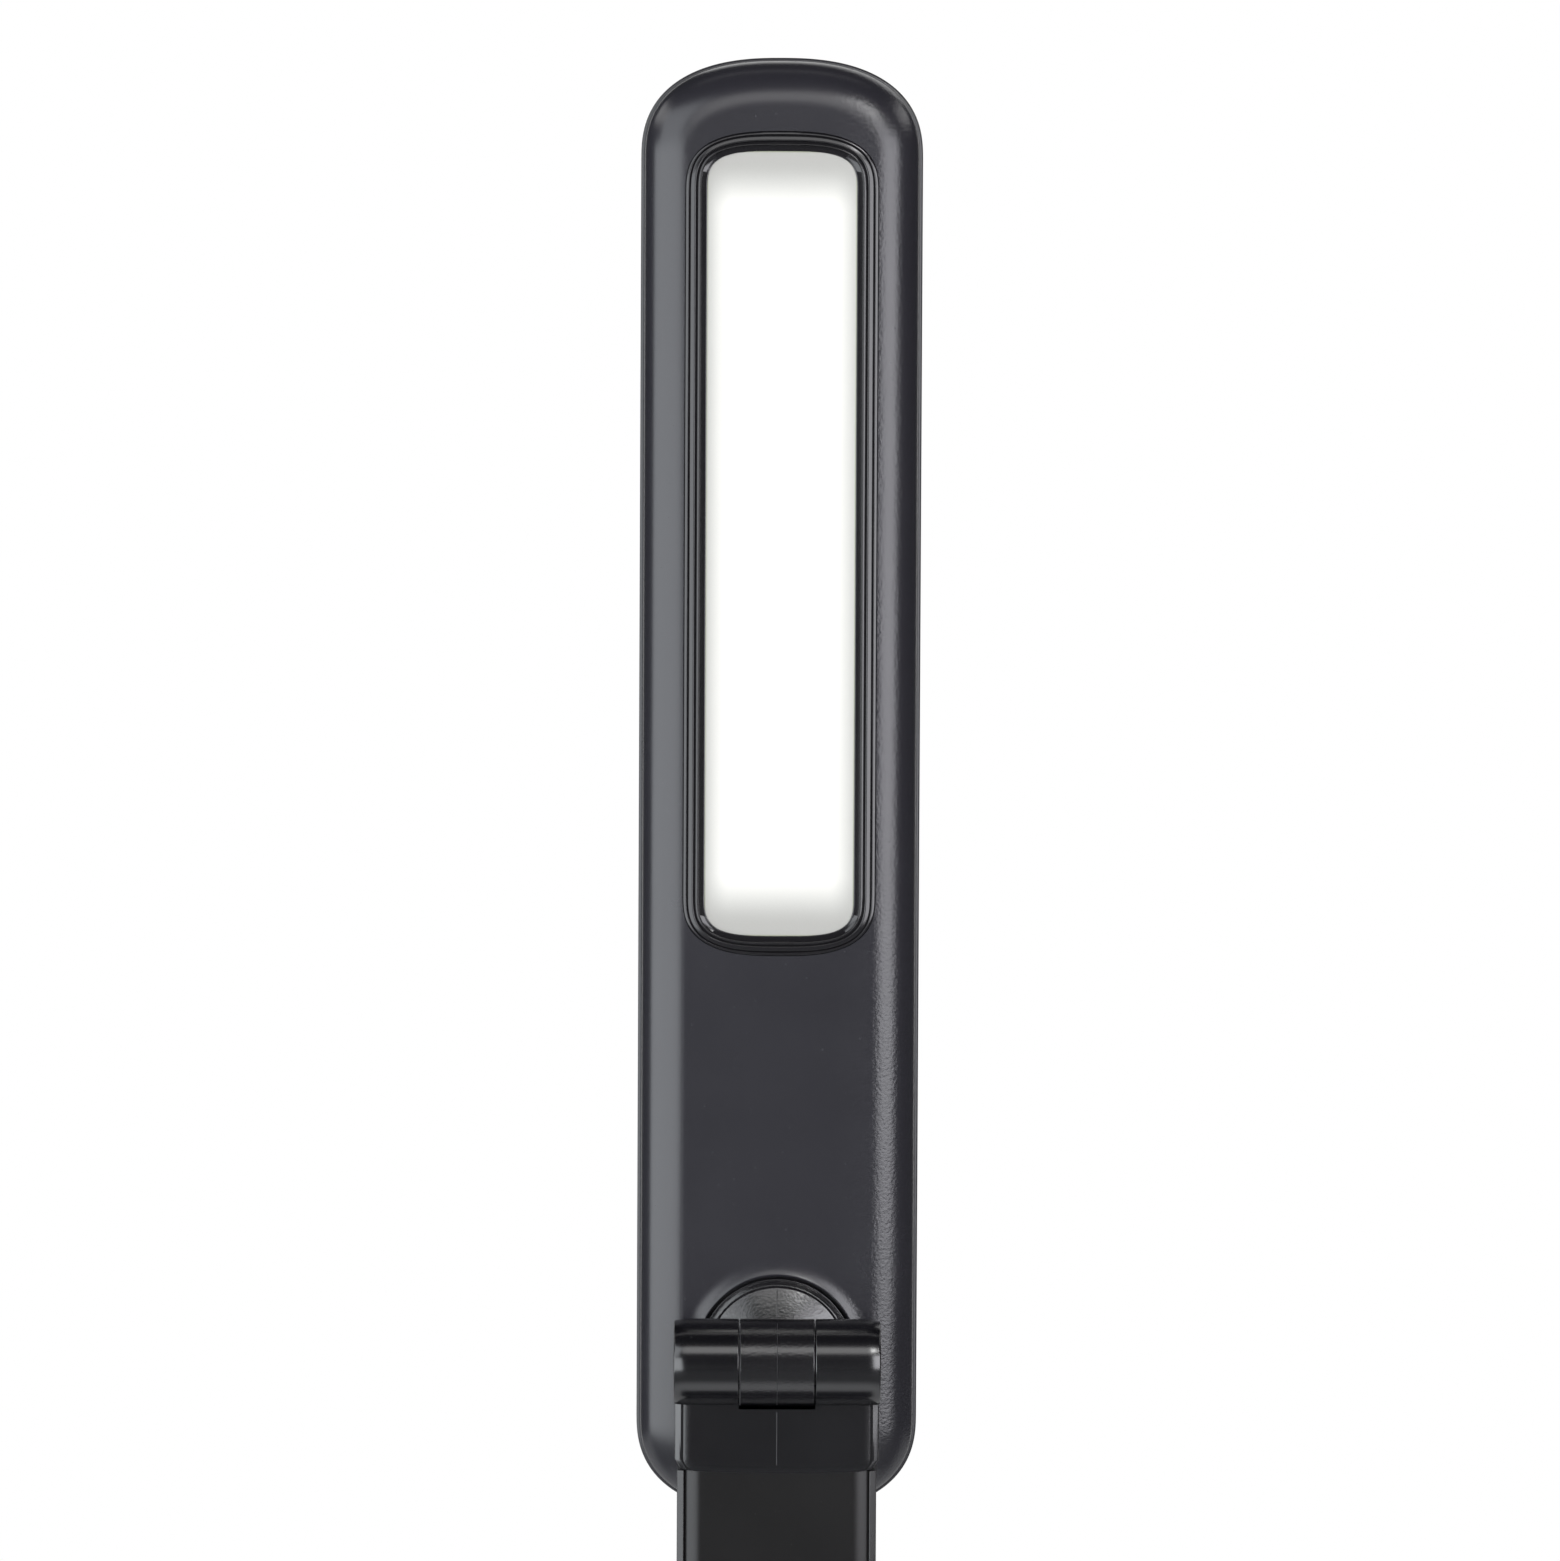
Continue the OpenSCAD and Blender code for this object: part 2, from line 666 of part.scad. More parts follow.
module head_front_housing() color([0.16, 0.16, 0.18]) head_frame() difference() {
    union() {
        translate([0, head_mid, 0]) difference() {
            loft(shoulder(rim_lip, shoulder_w, part_z, face_z, rim_h));
            loft(shoulder(rim_lip + head_wall, shoulder_w, part_z - cut, face_z - head_wall, rim_h + cut));
        }
        // floor and walls of the bezel's seat
        translate([0, window_mid, 0])
            prism(band_outline(1, head_wall), seat_back_z, face_z - head_wall / 2);
        // floor and walls of the disc's pocket
        swivel_axis() post(disc_d + 2 * disc_gap + 2 * head_wall, pocket_back_z, face_z - head_wall / 2);
        // stop post for the swivel
        swivel_axis() translate([0, stop_ring, 0]) post(stop_d, retainer_z - stop_play, pocket_back_z + cut);
    }
    translate([0, window_mid, 0]) {
        prism(band_outline(1), seat_z, face_z + cut);
        prism(band_outline(0, -diffuser_ledge), seat_back_z - cut, seat_z + cut);
    }
    swivel_axis() {
        post(disc_d + 2 * disc_gap, pocket_z, face_z + cut);
        post(hub_d + 2 * run_fit, pocket_back_z - cut, pocket_z + cut);
        pocket_lip();
    }
    head_screw_places() {
        post(small_screw_d + 2 * slip_fit, seat_back_z - cut, seat_z);
        post(small_head_d + 2 * slip_fit, seat_z - small_head_h, seat_z + cut);
    }
}

// The waste outside the rounded lip of the disc's pocket
module pocket_lip() {
    inner = disc_d / 2 + disc_gap;
    rotate_extrude() difference() {
        translate([inner - cut, face_z - pocket_round]) square([cut + pocket_round, pocket_round + cut]);
        translate([inner + pocket_round, face_z - pocket_round]) circle(pocket_round);
        translate([inner + pocket_round / 2, face_z]) square([pocket_round, cut * 2]);
    }
}

module head_back_cover() color([0.13, 0.13, 0.15]) head_frame() difference() {
    union() {
        translate([0, head_mid, 0]) difference() {
            loft(back_shell(0, 0));
            loft(back_shell(spigot_inset + spigot_t, head_wall));
        }
        translate([0, head_mid, 0]) difference() {
            prism(head_outline(spigot_inset), part_z - rim_h, part_z + spigot_h);
            prism(head_outline(spigot_inset + spigot_t), part_z - rim_h - cut, part_z + spigot_h + cut);
        }
        head_screw_places() post(2.5 * small_screw_d, back_inner_z - head_wall / 2,
                                 seat_back_z - run_fit);
        led_screw_places() post(2 * medium_screw_d, back_inner_z - head_wall / 2, led_board_z);
    }
    head_screw_places() post(small_screw_d + 2 * slip_fit, back_inner_z + head_wall, seat_back_z + cut);
    led_screw_places() post(medium_screw_d + 2 * slip_fit, back_inner_z, led_board_z + cut);
}

// Rings of the back cover's outside, or of its hollow when inset and lifted by its wall
function back_shell(inset, lift) = concat(
    [for (k = [0 : roll_steps])
        let (a = 90 * (1 - k / roll_steps), top = part_z - rim_h)
        [head_outline(inset + back_roll * (1 - cos(a))), top - (top - back_z - lift) * sin(a)]],
    [[head_outline(inset), part_z + (lift > 0 ? cut : 0)]]
);

module bezel_frame() color([0.1, 0.1, 0.12]) head_frame() translate([0, window_mid, 0]) {
    lip_z = seat_z + diffuser_t + slip_fit;
    top = face_z + bezel_proud;
    groove = face_z - bezel_proud;
    slope = bezel_slope / bezel_side;
    band([
        [band_outline(1, -slip_fit), seat_z],
        [band_outline(1, -slip_fit), groove],
        [band_outline(outer_bead[0]), top],
        [band_outline(outer_bead[1]), top],
        [band_outline(bezel_groove[0]), groove],
        [band_outline(bezel_groove[1]), groove],
        [band_outline(inner_bead[0]), top],
        [band_outline(inner_bead[1]), top],
        [band_outline(bezel_step), face_z],
        [band_outline(slope), face_z],
        [band_outline(0), lip_z + bezel_edge],
        [band_outline(0), lip_z],
        [band_outline(0, diffuser_tuck + slip_fit), lip_z],
        [band_outline(0, diffuser_tuck + slip_fit), seat_z]
    ]);
}

module diffuser_panel() color([0.97, 0.97, 0.94]) head_frame() translate([0, window_mid, 0])
    prism(band_outline(0, diffuser_tuck), seat_z, seat_z + diffuser_t);

// The window's outline drawn in to the field of light chips, widened by a wall
function field_outline(extra) =
    outline(field_w + 2 * extra, field_l + 2 * extra, window_cap / 2, window_power);

module reflector_tray() color([0.95, 0.95, 0.95]) head_frame() translate([0, window_mid, 0]) difference() {
    inset = -diffuser_ledge - slip_fit;
    tall = seat_z - slip_fit - tray_z;
    loft([[field_outline(tray_wall), tray_z], [band_outline(0, inset), tray_z + tall]]);
    loft([
        [field_outline(0), tray_z - tall / 100],
        [band_outline(0, inset - tray_wall), tray_z + tall * 1.01]
    ]);
}

module led_screw_places() {
    for (x = [-1, 1], y = [-1, 1])
        translate([x * field_w / 2, window_mid + y * (field_l / 2 + led_board_end / 2), 0]) children();
}

module led_board() color([0.85, 0.86, 0.85]) head_frame() difference() {
    tall = field_l + 2 * led_board_end + led_board_tab;
    translate([-led_board_w / 2, led_edge, led_board_z])
        cube([led_board_w, tall, led_board_t]);
    led_screw_places() post(medium_screw_d + 2 * slip_fit, led_board_z - cut, tray_z + cut);
}

module led_chips() color([0.95, 0.85, 0.4]) head_frame() {
    pitch = field_l / chip_rows;
    for (x = [-1, 1], k = [0 : chip_rows - 1])
        translate([x * field_w / 4, window_mid + (k + 0.5) * pitch - field_l / 2, tray_z + chip_h / 2])
            cube([chip_w, chip_l, chip_h], center = true);
}

module led_board_screws() color([0.75, 0.75, 0.78]) head_frame() led_screw_places()
    translate([0, 0, tray_z])
        screw(medium_screw_d, led_board_t + led_post_h, 1.4 * medium_screw_d, medium_head_h);

module led_connector() color([0.9, 0.9, 0.86]) head_frame()
    translate([-connector_w / 2, led_edge, tray_z])
        cube([connector_w, connector_d, connector_h]);

module head_harness() color([0.7, 0.1, 0.1]) head_frame() {
    low = retainer_z - small_head_h - 2 * harness_d;
    for (x = [-1, 1]) wire([
        [x * harness_d, led_edge, tray_z + connector_h / 2],
        [x * harness_d, led_edge - harness_d, tray_z + connector_h / 2],
        [x * harness_d, led_edge - 2 * connector_d, low],
        [x * harness_d, -disc_drop, low],
        [x * harness_d, -disc_drop, disc_z]
    ], harness_d, [1, 0, 0]);
}

module head_screws() color([0.3, 0.3, 0.32]) head_frame() head_screw_places()
    translate([0, 0, seat_z - small_head_h])
        screw(small_screw_d, head_wall + 2 * small_screw_d, small_head_d, small_head_h);

module swivel_glide_ring() color([0.92, 0.92, 0.88]) head_frame() swivel_axis() difference() {
    post(disc_d - 2 * disc_gap, pocket_z, pocket_z + glide_t);
    post(hub_d + 2 * disc_gap, pocket_z - cut, pocket_z + cut);
}

// ---------------------------------------------------------------- swivel

// The middle knuckle of a hinge: its neck points to +Z and its bolt runs along X
module middle_knuckle() {
    recess = friction_washer_t - knuckle_gap + 2 * run_fit;
    difference() {
        union() {
            bar_x(barrel_d, -knuckle_half, knuckle_half);
            children();
        }
        bar_x(bolt_d + 2 * run_fit, -knuckle_half - cut, knuckle_half + cut);
        for (way = [-1, 1]) {
            inner = way * (knuckle_half - recess);
            outer = way * (knuckle_half + cut);
            bar_x(friction_washer_d + 2 * slip_fit, min(inner, outer), max(inner, outer));
        }
        translate([0, 0, wire_ring]) bar_x(wire_hole_d, -knuckle_half - cut, 0);
    }
}

module retainer_screw_places() {
    ring = (hub_d + hub_bore_d) / 4;
    for (a = [30, 150, 270]) rotate(a) translate([ring, 0, 0]) children();
}

// The disc with its raised ring, dished face and hub
module disc() {
    edge = disc_d / 2;
    ring = edge - disc_ring_inset;
    rotate_extrude() polygon([
        [0, disc_back_z], [edge, disc_back_z], [edge, disc_z - 3.5 * disc_step],
        [edge - disc_step, disc_z - 2.5 * disc_step], [ring + 2 * disc_step, disc_z - disc_step],
        [ring, disc_z], [ring - disc_ring_w, disc_z],
        [ring - disc_ring_w - 2 * disc_step, disc_z - disc_step], [0, disc_z - disc_dish]
    ]);
    post(hub_d, hub_end_z, disc_back_z + disc_t / 2);
}

module swivel_knuckle() color([0.14, 0.14, 0.17]) head_frame() difference() {
    rotate([180, 0, 0]) middle_knuckle() rotate([180, 0, 0]) {
        translate([-knuckle_half, -neck_h / 2, disc_back_z]) cube([knuckle_w, neck_h, -disc_back_z]);
        swivel_axis() disc();
    }
    swivel_axis() {
        post(hub_bore_d, hub_end_z - cut, -wire_ring);
        retainer_screw_places() post(small_screw_d + 2 * slip_fit, hub_end_z - cut, disc_back_z);
    }
}

module swivel_spring_washer() color([0.7, 0.7, 0.72]) head_frame() swivel_axis() difference() {
    post(swivel_spring_d, hub_end_z + run_fit, pocket_back_z - run_fit);
    post(hub_d + 4 * slip_fit, hub_end_z - cut, pocket_back_z + cut);
}

// A plate on the hub's end, cut back to the spring's size where the stop post passes
module swivel_retainer() color([0.7, 0.7, 0.72]) head_frame() swivel_axis() difference() {
    sweep = 360 - 2 * (swivel_half_turn + asin((stop_d / 2 + stop_play) / stop_ring));
    union() {
        post(swivel_spring_d, retainer_z, hub_end_z);
        intersection() {
            post(retainer_d, retainer_z, hub_end_z);
            translate([0, 0, retainer_z]) linear_extrude(retainer_t) polygon([
                [0, 0],
                for (k = [0 : 4]) let (a = -90 - sweep / 2 + sweep * k / 4)
                    retainer_d * [cos(a), sin(a)]
            ]);
        }
    }
    post(hub_bore_d, retainer_z - cut, hub_end_z + cut);
    retainer_screw_places() post(small_screw_d + 2 * slip_fit, retainer_z - cut, hub_end_z + cut);
}

module retainer_screws() color([0.75, 0.75, 0.78]) head_frame() swivel_axis()
    retainer_screw_places() translate([0, 0, retainer_z]) mirror([0, 0, 1])
        screw(small_screw_d, hub_end_z - retainer_z + 1.4 * small_screw_d, small_head_d, small_head_h);

// ---------------------------------------------------------------- hinges

module hinge_bolt() {
    end = nut_seat + spring_washers * (spring_washer_t + run_fit) + nut_t + bolt_end;
    bar_x(bolt_d, -bolt_seat - run_fit, end);
    difference() {
        bar_x(bolt_head_d, -bolt_seat - run_fit - bolt_head_h, -bolt_seat - run_fit);
        translate([-bolt_seat - run_fit - bolt_head_h - cut, 0, 0]) rotate([0, 90, 0])
            cylinder(d = bolt_d * 0.75, h = bolt_head_h / 2 + cut, $fn = 6);
    }
}

module hinge_nut() {
    start = nut_seat + spring_washers * (spring_washer_t + run_fit) + run_fit;
    difference() {
        translate([start, 0, 0]) rotate([0, 90, 0]) cylinder(d = nut_d, h = nut_t, $fn = 6);
        bar_x(bolt_d + 2 * run_fit, start - cut, start + nut_t + cut);
    }
}

module hinge_spring_washers() {
    for (k = [0 : spring_washers - 1]) {
        x = nut_seat + run_fit + k * (spring_washer_t + run_fit);
        ring_x(bolt_head_d, bolt_d + 2 * slip_fit, x, x + spring_washer_t);
    }
}

module hinge_friction_washers() {
    for (way = [-1, 1]) {
        outer = outer_knuckle - run_fit;
        inner = outer - friction_washer_t;
        a = way * inner;
        b = way * outer;
        ring_x(friction_washer_d, bolt_d + 2 * slip_fit, min(a, b), max(a, b));
    }
}

module hinge_cap(way) {
    bevelled_bar_x(counterbore_d - 2 * slip_fit, way * (barrel_w / 2 - hinge_cap_t),
                   way * barrel_w / 2, hinge_cap_edge);
}

module upper_hinge_bolt() color([0.72, 0.72, 0.75]) upper_hinge() hinge_bolt();
module upper_hinge_nut() color([0.72, 0.72, 0.75]) upper_hinge() hinge_nut();
module upper_spring_washers() color([0.6, 0.6, 0.63]) upper_hinge() hinge_spring_washers();
module upper_friction_washers() color([0.9, 0.9, 0.86]) upper_hinge() hinge_friction_washers();
module upper_left_cap() color([0.14, 0.14, 0.17]) upper_hinge() hinge_cap(-1);
module upper_right_cap() color([0.14, 0.14, 0.17]) upper_hinge() hinge_cap(1);
module lower_hinge_bolt() color([0.72, 0.72, 0.75]) lower_hinge() hinge_bolt();
module lower_hinge_nut() color([0.72, 0.72, 0.75]) lower_hinge() hinge_nut();
module lower_spring_washers() color([0.6, 0.6, 0.63]) lower_hinge() hinge_spring_washers();
module lower_friction_washers() color([0.9, 0.9, 0.86]) lower_hinge() hinge_friction_washers();
module lower_left_cap() color([0.14, 0.14, 0.17]) lower_hinge() hinge_cap(-1);
module lower_right_cap() color([0.14, 0.14, 0.17]) lower_hinge() hinge_cap(1);

// ---------------------------------------------------------------- arm

// Cross-section of a bar as wide as w, from y0 to y1, with bevelled corners
module bevelled_section(w, y0, y1, bevel_x, bevel_y) {
    polygon([
        [-w / 2 + bevel_x, y0], [w / 2 - bevel_x, y0], [w / 2, y0 + bevel_y], [w / 2, y1 - bevel_y],
        [w / 2 - bevel_x, y1], [-w / 2 + bevel_x, y1], [-w / 2, y1 - bevel_y], [-w / 2, y0 + bevel_y]
    ]);
}

module tongue_screw_places() {
    for (x = [-1, 1]) translate([x * tongue_screw_pitch / 2, arm_back, -tongue_mid]) children();
}

// The end piece of the arm: the two outer knuckles, the collar and the tongue inside the arm
module collar() {
    front = -arm_front - collar_proud;
    back = arm_back + collar_proud;
    half = collar_w / 2;
    difference() {
        union() {
            for (way = [-1, 1])
                bevelled_bar_x(barrel_d, way * outer_knuckle, way * barrel_w / 2, barrel_edge);
            intersection() {
                translate([0, 0, -collar_reach]) linear_extrude(collar_reach)
                    bevelled_section(collar_w, front, back, arm_bevel, arm_bevel_depth);
                translate([0, back + cut, 0]) rotate([90, 0, 0])
                    linear_extrude(back - front + 2 * cut) polygon([
                        [-half, 0], [-half, -collar_reach + collar_corner],
                        [-half + collar_corner_w, -collar_reach],
                        [half - collar_corner_w, -collar_reach],
                        [half, -collar_reach + collar_corner], [half, 0]
                    ]);
            }
            translate([-tongue_w / 2, panel_inner + slip_fit, -collar_reach - tongue_l])
                cube([tongue_w, stiffener_y - panel_inner - 2 * slip_fit, tongue_l + cut]);
        }
        bar_x(barrel_d + 2 * knuckle_relief, -outer_knuckle, outer_knuckle);
        bar_x(bolt_d + 2 * run_fit, -barrel_w, barrel_w);
        bar_x(counterbore_d, -barrel_w, -bolt_seat);
        bar_x(counterbore_d, nut_seat, barrel_w);
        ring_x(wire_way_d, friction_washer_d, -outer_knuckle - wire_way_depth, -outer_knuckle + cut);
        translate([cable_x, cable_y, -collar_reach - tongue_l - cut])
            cylinder(d = cable_d + 4 * slip_fit, h = collar_reach + tongue_l + cut - friction_washer_d / 2);
        tongue_screw_places() rotate([90, 0, 0])
            cylinder(d = medium_screw_d + 2 * slip_fit, h = arm_back + panel_t);
    }
}

module upper_collar() color([0.14, 0.14, 0.17]) upper_hinge() collar();
module lower_collar() color([0.14, 0.14, 0.17]) lower_hinge() collar();

module arm_prism() {
    translate([0, hinge_y, tube_z[0]]) linear_extrude(tube_z[1] - tube_z[0]) children();
}

// Screws through the arm's back: two rows that hold the front panel
module panel_screw_places() {
    step = (tube_z[1] - tube_z[0] - 2 * tongue_l) / panel_screws;
    for (k = [0 : panel_screws - 1])
        translate([panel_screw_x * (k % 2 == 0 ? 1 : -1), hinge_y + arm_back,
                   tube_z[0] + tongue_l + (k + 0.5) * step]) children();
}

module all_tongue_screw_places() {
    upper_hinge() tongue_screw_places() children();
    lower_hinge() tongue_screw_places() children();
}

// The way of a screw that enters the arm's back, with room for its head
module back_screw_way() {
    rotate([90, 0, 0]) {
        cylinder(d = medium_screw_d + 2 * slip_fit, h = arm_t);
        translate([0, 0, -cut]) cylinder(d = medium_head_d + 2 * slip_fit, h = medium_head_h + cut);
    }
}

module arm_channel() color([0.12, 0.12, 0.13]) difference() {
    arm_prism() difference() {
        bevelled_section(arm_w, -arm_front, arm_back, arm_bevel, arm_bevel_depth);
        translate([-arm_w / 2 + arm_side, -arm_front - cut])
            square([arm_w - 2 * arm_side, arm_t - arm_back_wall + cut]);
    }
    panel_screw_places() back_screw_way();
    all_tongue_screw_places() back_screw_way();
}

module arm_front_panel() color([0.1, 0.1, 0.1]) difference() {
    union() {
        arm_prism() polygon([
            [-panel_w / 2, panel_inner], [-panel_w / 2, panel_ease - arm_front],
            [-panel_w / 2 + panel_edge, -arm_front], [panel_w / 2 - panel_edge, -arm_front],
            [panel_w / 2, panel_ease - arm_front], [panel_w / 2, panel_inner]
        ]);
        panel_screw_places() translate([0, -arm_back_wall - stiffener_t - run_fit, 0]) rotate([90, 0, 0])
            cylinder(d = panel_post_d, h = stiffener_y - panel_inner);
    }
    panel_screw_places() translate([0, -arm_back_wall, 0]) rotate([90, 0, 0])
        cylinder(d = medium_screw_d + 2 * slip_fit, h = stiffener_t + stiffener_y - panel_inner);
}

module arm_stiffener() color([0.6, 0.6, 0.62]) difference() {
    translate([-stiffener_w / 2, hinge_y + stiffener_y, tube_z[0] + slip_fit])
        cube([stiffener_w, stiffener_t, tube_z[1] - tube_z[0] - 2 * slip_fit]);
    panel_screw_places() back_screw_way();
    all_tongue_screw_places() back_screw_way();
}

module arm_cable() color([0.2, 0.2, 0.2])
    translate([cable_x, hinge_y + cable_y, 0])
        post(cable_d, lower_z + wire_ring, upper_z - wire_ring);

module back_screw() {
    translate([0, -medium_head_h, 0]) rotate([-90, 0, 0])
        screw(medium_screw_d, arm_back_wall + 1.8 * stiffener_t, medium_head_d, medium_head_h);
}

module arm_panel_screws() color([0.3, 0.3, 0.32]) panel_screw_places() back_screw();
module collar_screws() color([0.3, 0.3, 0.32]) all_tongue_screw_places() back_screw();

// ---------------------------------------------------------------- base

module tower_frame() {
    translate([0, hinge_y, lower_z]) children();
}

module tower_screw_places() {
    for (x = [-1, 1], y = [-1, 1])
        translate([x * (flange_w / 2 - flange_screw_inset),
                   hinge_y + y * (flange_d / 2 - flange_screw_inset), flange_top]) children();
}

module hinge_tower() color([0.14, 0.14, 0.17]) difference() {
    top = -barrel_r - knuckle_relief;
    floor_z = ballast_top - lower_z;
    cable_way = cable_d + 2 * cable_room;
    tower_frame() rotate([180, 0, 0]) middle_knuckle() rotate([180, 0, 0]) {
        translate([-knuckle_half, -neck_h / 2, top - cut]) cube([knuckle_w, neck_h, cut - top]);
        prism(outline(tower_w, tower_d, tower_d / 2, base_power), floor_z, top);
        translate([-flange_w / 2, -flange_d / 2, floor_z]) cube([flange_w, flange_d, flange_t]);
    }
    translate([0, hinge_y, 0]) {
        post(cable_way, flange_top, lower_z - wire_ring);
        translate([-cable_way / 2, -tower_d, flange_top])
            cube([cable_way, tower_d, cable_way + 2 * cable_room]);
    }
    tower_screw_places() post(large_screw_d + 2 * slip_fit, -flange_t - cut, cut);
}

module tower_screws() color([0.75, 0.75, 0.78]) tower_screw_places()
    screw(large_screw_d, flange_t + 0.8 * ballast_t, large_head_d, 1.5 * large_head_h);

module tower_cable() color([0.2, 0.2, 0.2]) wire([
    [0, hinge_y, lower_z - wire_ring],
    [0, hinge_y, cable_exit_z],
    [0, driver_rear, cable_exit_z]
], cable_d, [1, 0, 0]);

module foot_places() {
    for (x = [-1, 1], y = [-1, 1]) translate([x * foot_x, y * foot_y, 0]) children();
}

module touch_screw_places() {
    for (x = [-1, 1]) translate([x * (touch_board_w / 2 - touch_screw_inset), -touch_y, 0])
        children();
}

// Rings of the base cover's outside, or of its hollow when inset and lowered by its wall
function base_shell(inset, lower) = concat(
    [[base_outline(inset), foot_h - (lower > 0 ? cut : 0)]],
    [for (k = [0 : roll_steps])
        let (a = 90 * k / roll_steps)
        [base_outline(inset + base_edge * (1 - cos(a))),
         base_h - lower - (base_edge - lower / 2) * (1 - sin(a))]]
);

module base_top_cover() color([0.13, 0.13, 0.15]) difference() {
    union() {
        difference() {
            loft(base_shell(0, 0));
            loft(base_shell(base_wall, base_wall));
        }
        foot_places() post(base_post_d, plate_top + run_fit, base_h - base_wall / 2);
        touch_screw_places()
            post(2 * medium_screw_d, touch_board_top, base_h - (base_wall + touch_recess) / 2);
    }
    translate([0, hinge_y, 0])
        prism(outline(tower_w + 2 * slip_fit, tower_d + 2 * slip_fit, tower_d / 2 + slip_fit, base_power),
              cover_inner - cut, base_h + cut);
    translate([0, -touch_y, 0]) rotate(90)
        prism(touch_outline(slip_fit), base_h - touch_recess, base_h + cut);
    translate([0, 0, jack_axis_z]) rotate([-90, 0, 0]) cylinder(d = jack_nose_d + 2 * slip_fit, h = base_d);
    foot_places() post(large_screw_d + 2 * slip_fit, foot_h, base_h - 2 * base_wall);
    touch_screw_places() post(medium_screw_d + 2 * slip_fit, touch_board_z, cover_inner);
}

module base_bottom_plate() color([0.15, 0.15, 0.15]) difference() {
    prism(base_outline(base_wall + slip_fit), foot_h, plate_top);
    foot_places() {
        post(foot_d + 2 * slip_fit, foot_h - cut, foot_h + foot_seat);
        post(large_head_d + 2 * slip_fit, foot_h, foot_h + foot_seat + large_head_h);
        post(large_screw_d + 2 * slip_fit, foot_h, plate_top + cut);
    }
    ballast_screw_places() post(medium_screw_d + 2 * slip_fit, plate_top - bottom_t / 1.5, plate_top + cut);
}

module base_screws() color([0.75, 0.75, 0.78]) foot_places()
    translate([0, 0, foot_h + foot_seat + large_head_h]) mirror([0, 0, 1])
        screw(large_screw_d, base_screw_l, large_head_d, large_head_h);

module rubber_feet() color([0.08, 0.08, 0.08]) foot_places() {
    post(foot_d, foot_edge, foot_h + foot_seat);
    cylinder(d1 = foot_d - 2 * foot_edge, d2 = foot_d, h = foot_edge);
}

module ballast_screw_places() {
    for (x = [-1, 1], y = [-1, 1])
        translate([x * (ballast_w / 2 - ballast_screw_inset),
                   y * (ballast_d / 2 - ballast_screw_inset), 0]) children();
}

module ballast_plate() color([0.5, 0.5, 0.52]) difference() {
    translate([-ballast_w / 2, -ballast_d / 2, plate_top]) cube([ballast_w, ballast_d, ballast_t]);
    ballast_screw_places() post(medium_screw_d + 2 * slip_fit, plate_top - cut, ballast_top + cut);
    tower_screw_places() post(large_screw_d + 2 * slip_fit, -ballast_t - flange_t - cut, 0);
    standoff_places() post(medium_screw_d + 2 * slip_fit, plate_top + 0.2 * ballast_t, ballast_top + cut);
}

module ballast_screws() color([0.75, 0.75, 0.78]) ballast_screw_places() translate([0, 0, ballast_top])
    screw(medium_screw_d, ballast_t + bottom_t / 2, medium_head_d, medium_head_h);

// ---------------------------------------------------------------- controls and electronics

function touch_outline(extra) =
    outline(touch_d + 2 * extra, touch_w + 2 * extra, touch_d / 2 + extra, 2);

module touch_panel() color([0.03, 0.03, 0.04]) translate([0, -touch_y, 0]) rotate(90)
    prism(touch_outline(0), base_h - touch_recess, base_h + touch_proud);

module touch_board() color([0.1, 0.35, 0.2]) difference() {
    translate([-touch_board_w / 2, -touch_y - touch_board_d / 2, touch_board_z])
        cube([touch_board_w, touch_board_d, touch_board_t]);
    touch_screw_places() post(medium_screw_d + 2 * slip_fit, touch_board_z - cut, touch_board_top + cut);
}

module touch_springs() color([0.75, 0.75, 0.7])
    for (k = [0 : touch_pads - 1])
        translate([(k - (touch_pads - 1) / 2) * touch_pitch, -touch_y, 0])
            post(touch_spring_d, touch_board_top, touch_board_top + touch_spring_h);

module touch_board_screws() color([0.75, 0.75, 0.78]) touch_screw_places()
    translate([0, 0, touch_board_z]) mirror([0, 0, 1])
        screw(medium_screw_d, touch_board_t + 0.85 * touch_spring_h, medium_head_d, medium_head_h);

module touch_ribbon() color([0.85, 0.85, 0.85]) {
    start = -touch_y + touch_board_d / 2;
    end = driver_rear - driver_d;
    level = max(touch_board_top, driver_top) + 1.5 * ribbon_t;
    translate([-connector_w / 2, start - connector_d, touch_board_top])
        cube([connector_w, connector_d, ribbon_socket_h]);
    translate([-connector_w / 2, start, level]) cube([connector_w, end - start, ribbon_t]);
}

module standoff_places() {
    for (x = [-1, 1], y = [-1, 1])
        translate([x * (driver_w / 2 - standoff_inset),
                   y * (driver_d / 2 - standoff_inset) - driver_y, 0]) children();
}

module driver_standoffs() color([0.8, 0.7, 0.35]) standoff_places() difference() {
    post(standoff_d, ballast_top, driver_z);
    post(medium_screw_d + 2 * slip_fit, ballast_top - cut, driver_z + cut);
}

module driver_board() color([0.1, 0.35, 0.2]) difference() {
    translate([-driver_w / 2, -driver_y - driver_d / 2, driver_z]) cube([driver_w, driver_d, driver_t]);
    standoff_places() post(medium_screw_d + 2 * slip_fit, driver_z - cut, driver_top + cut);
}

module driver_board_screws() color([0.75, 0.75, 0.78]) standoff_places() translate([0, 0, driver_top])
    screw(medium_screw_d, driver_t + standoff_h + 0.6 * ballast_t, medium_head_d, medium_head_h);

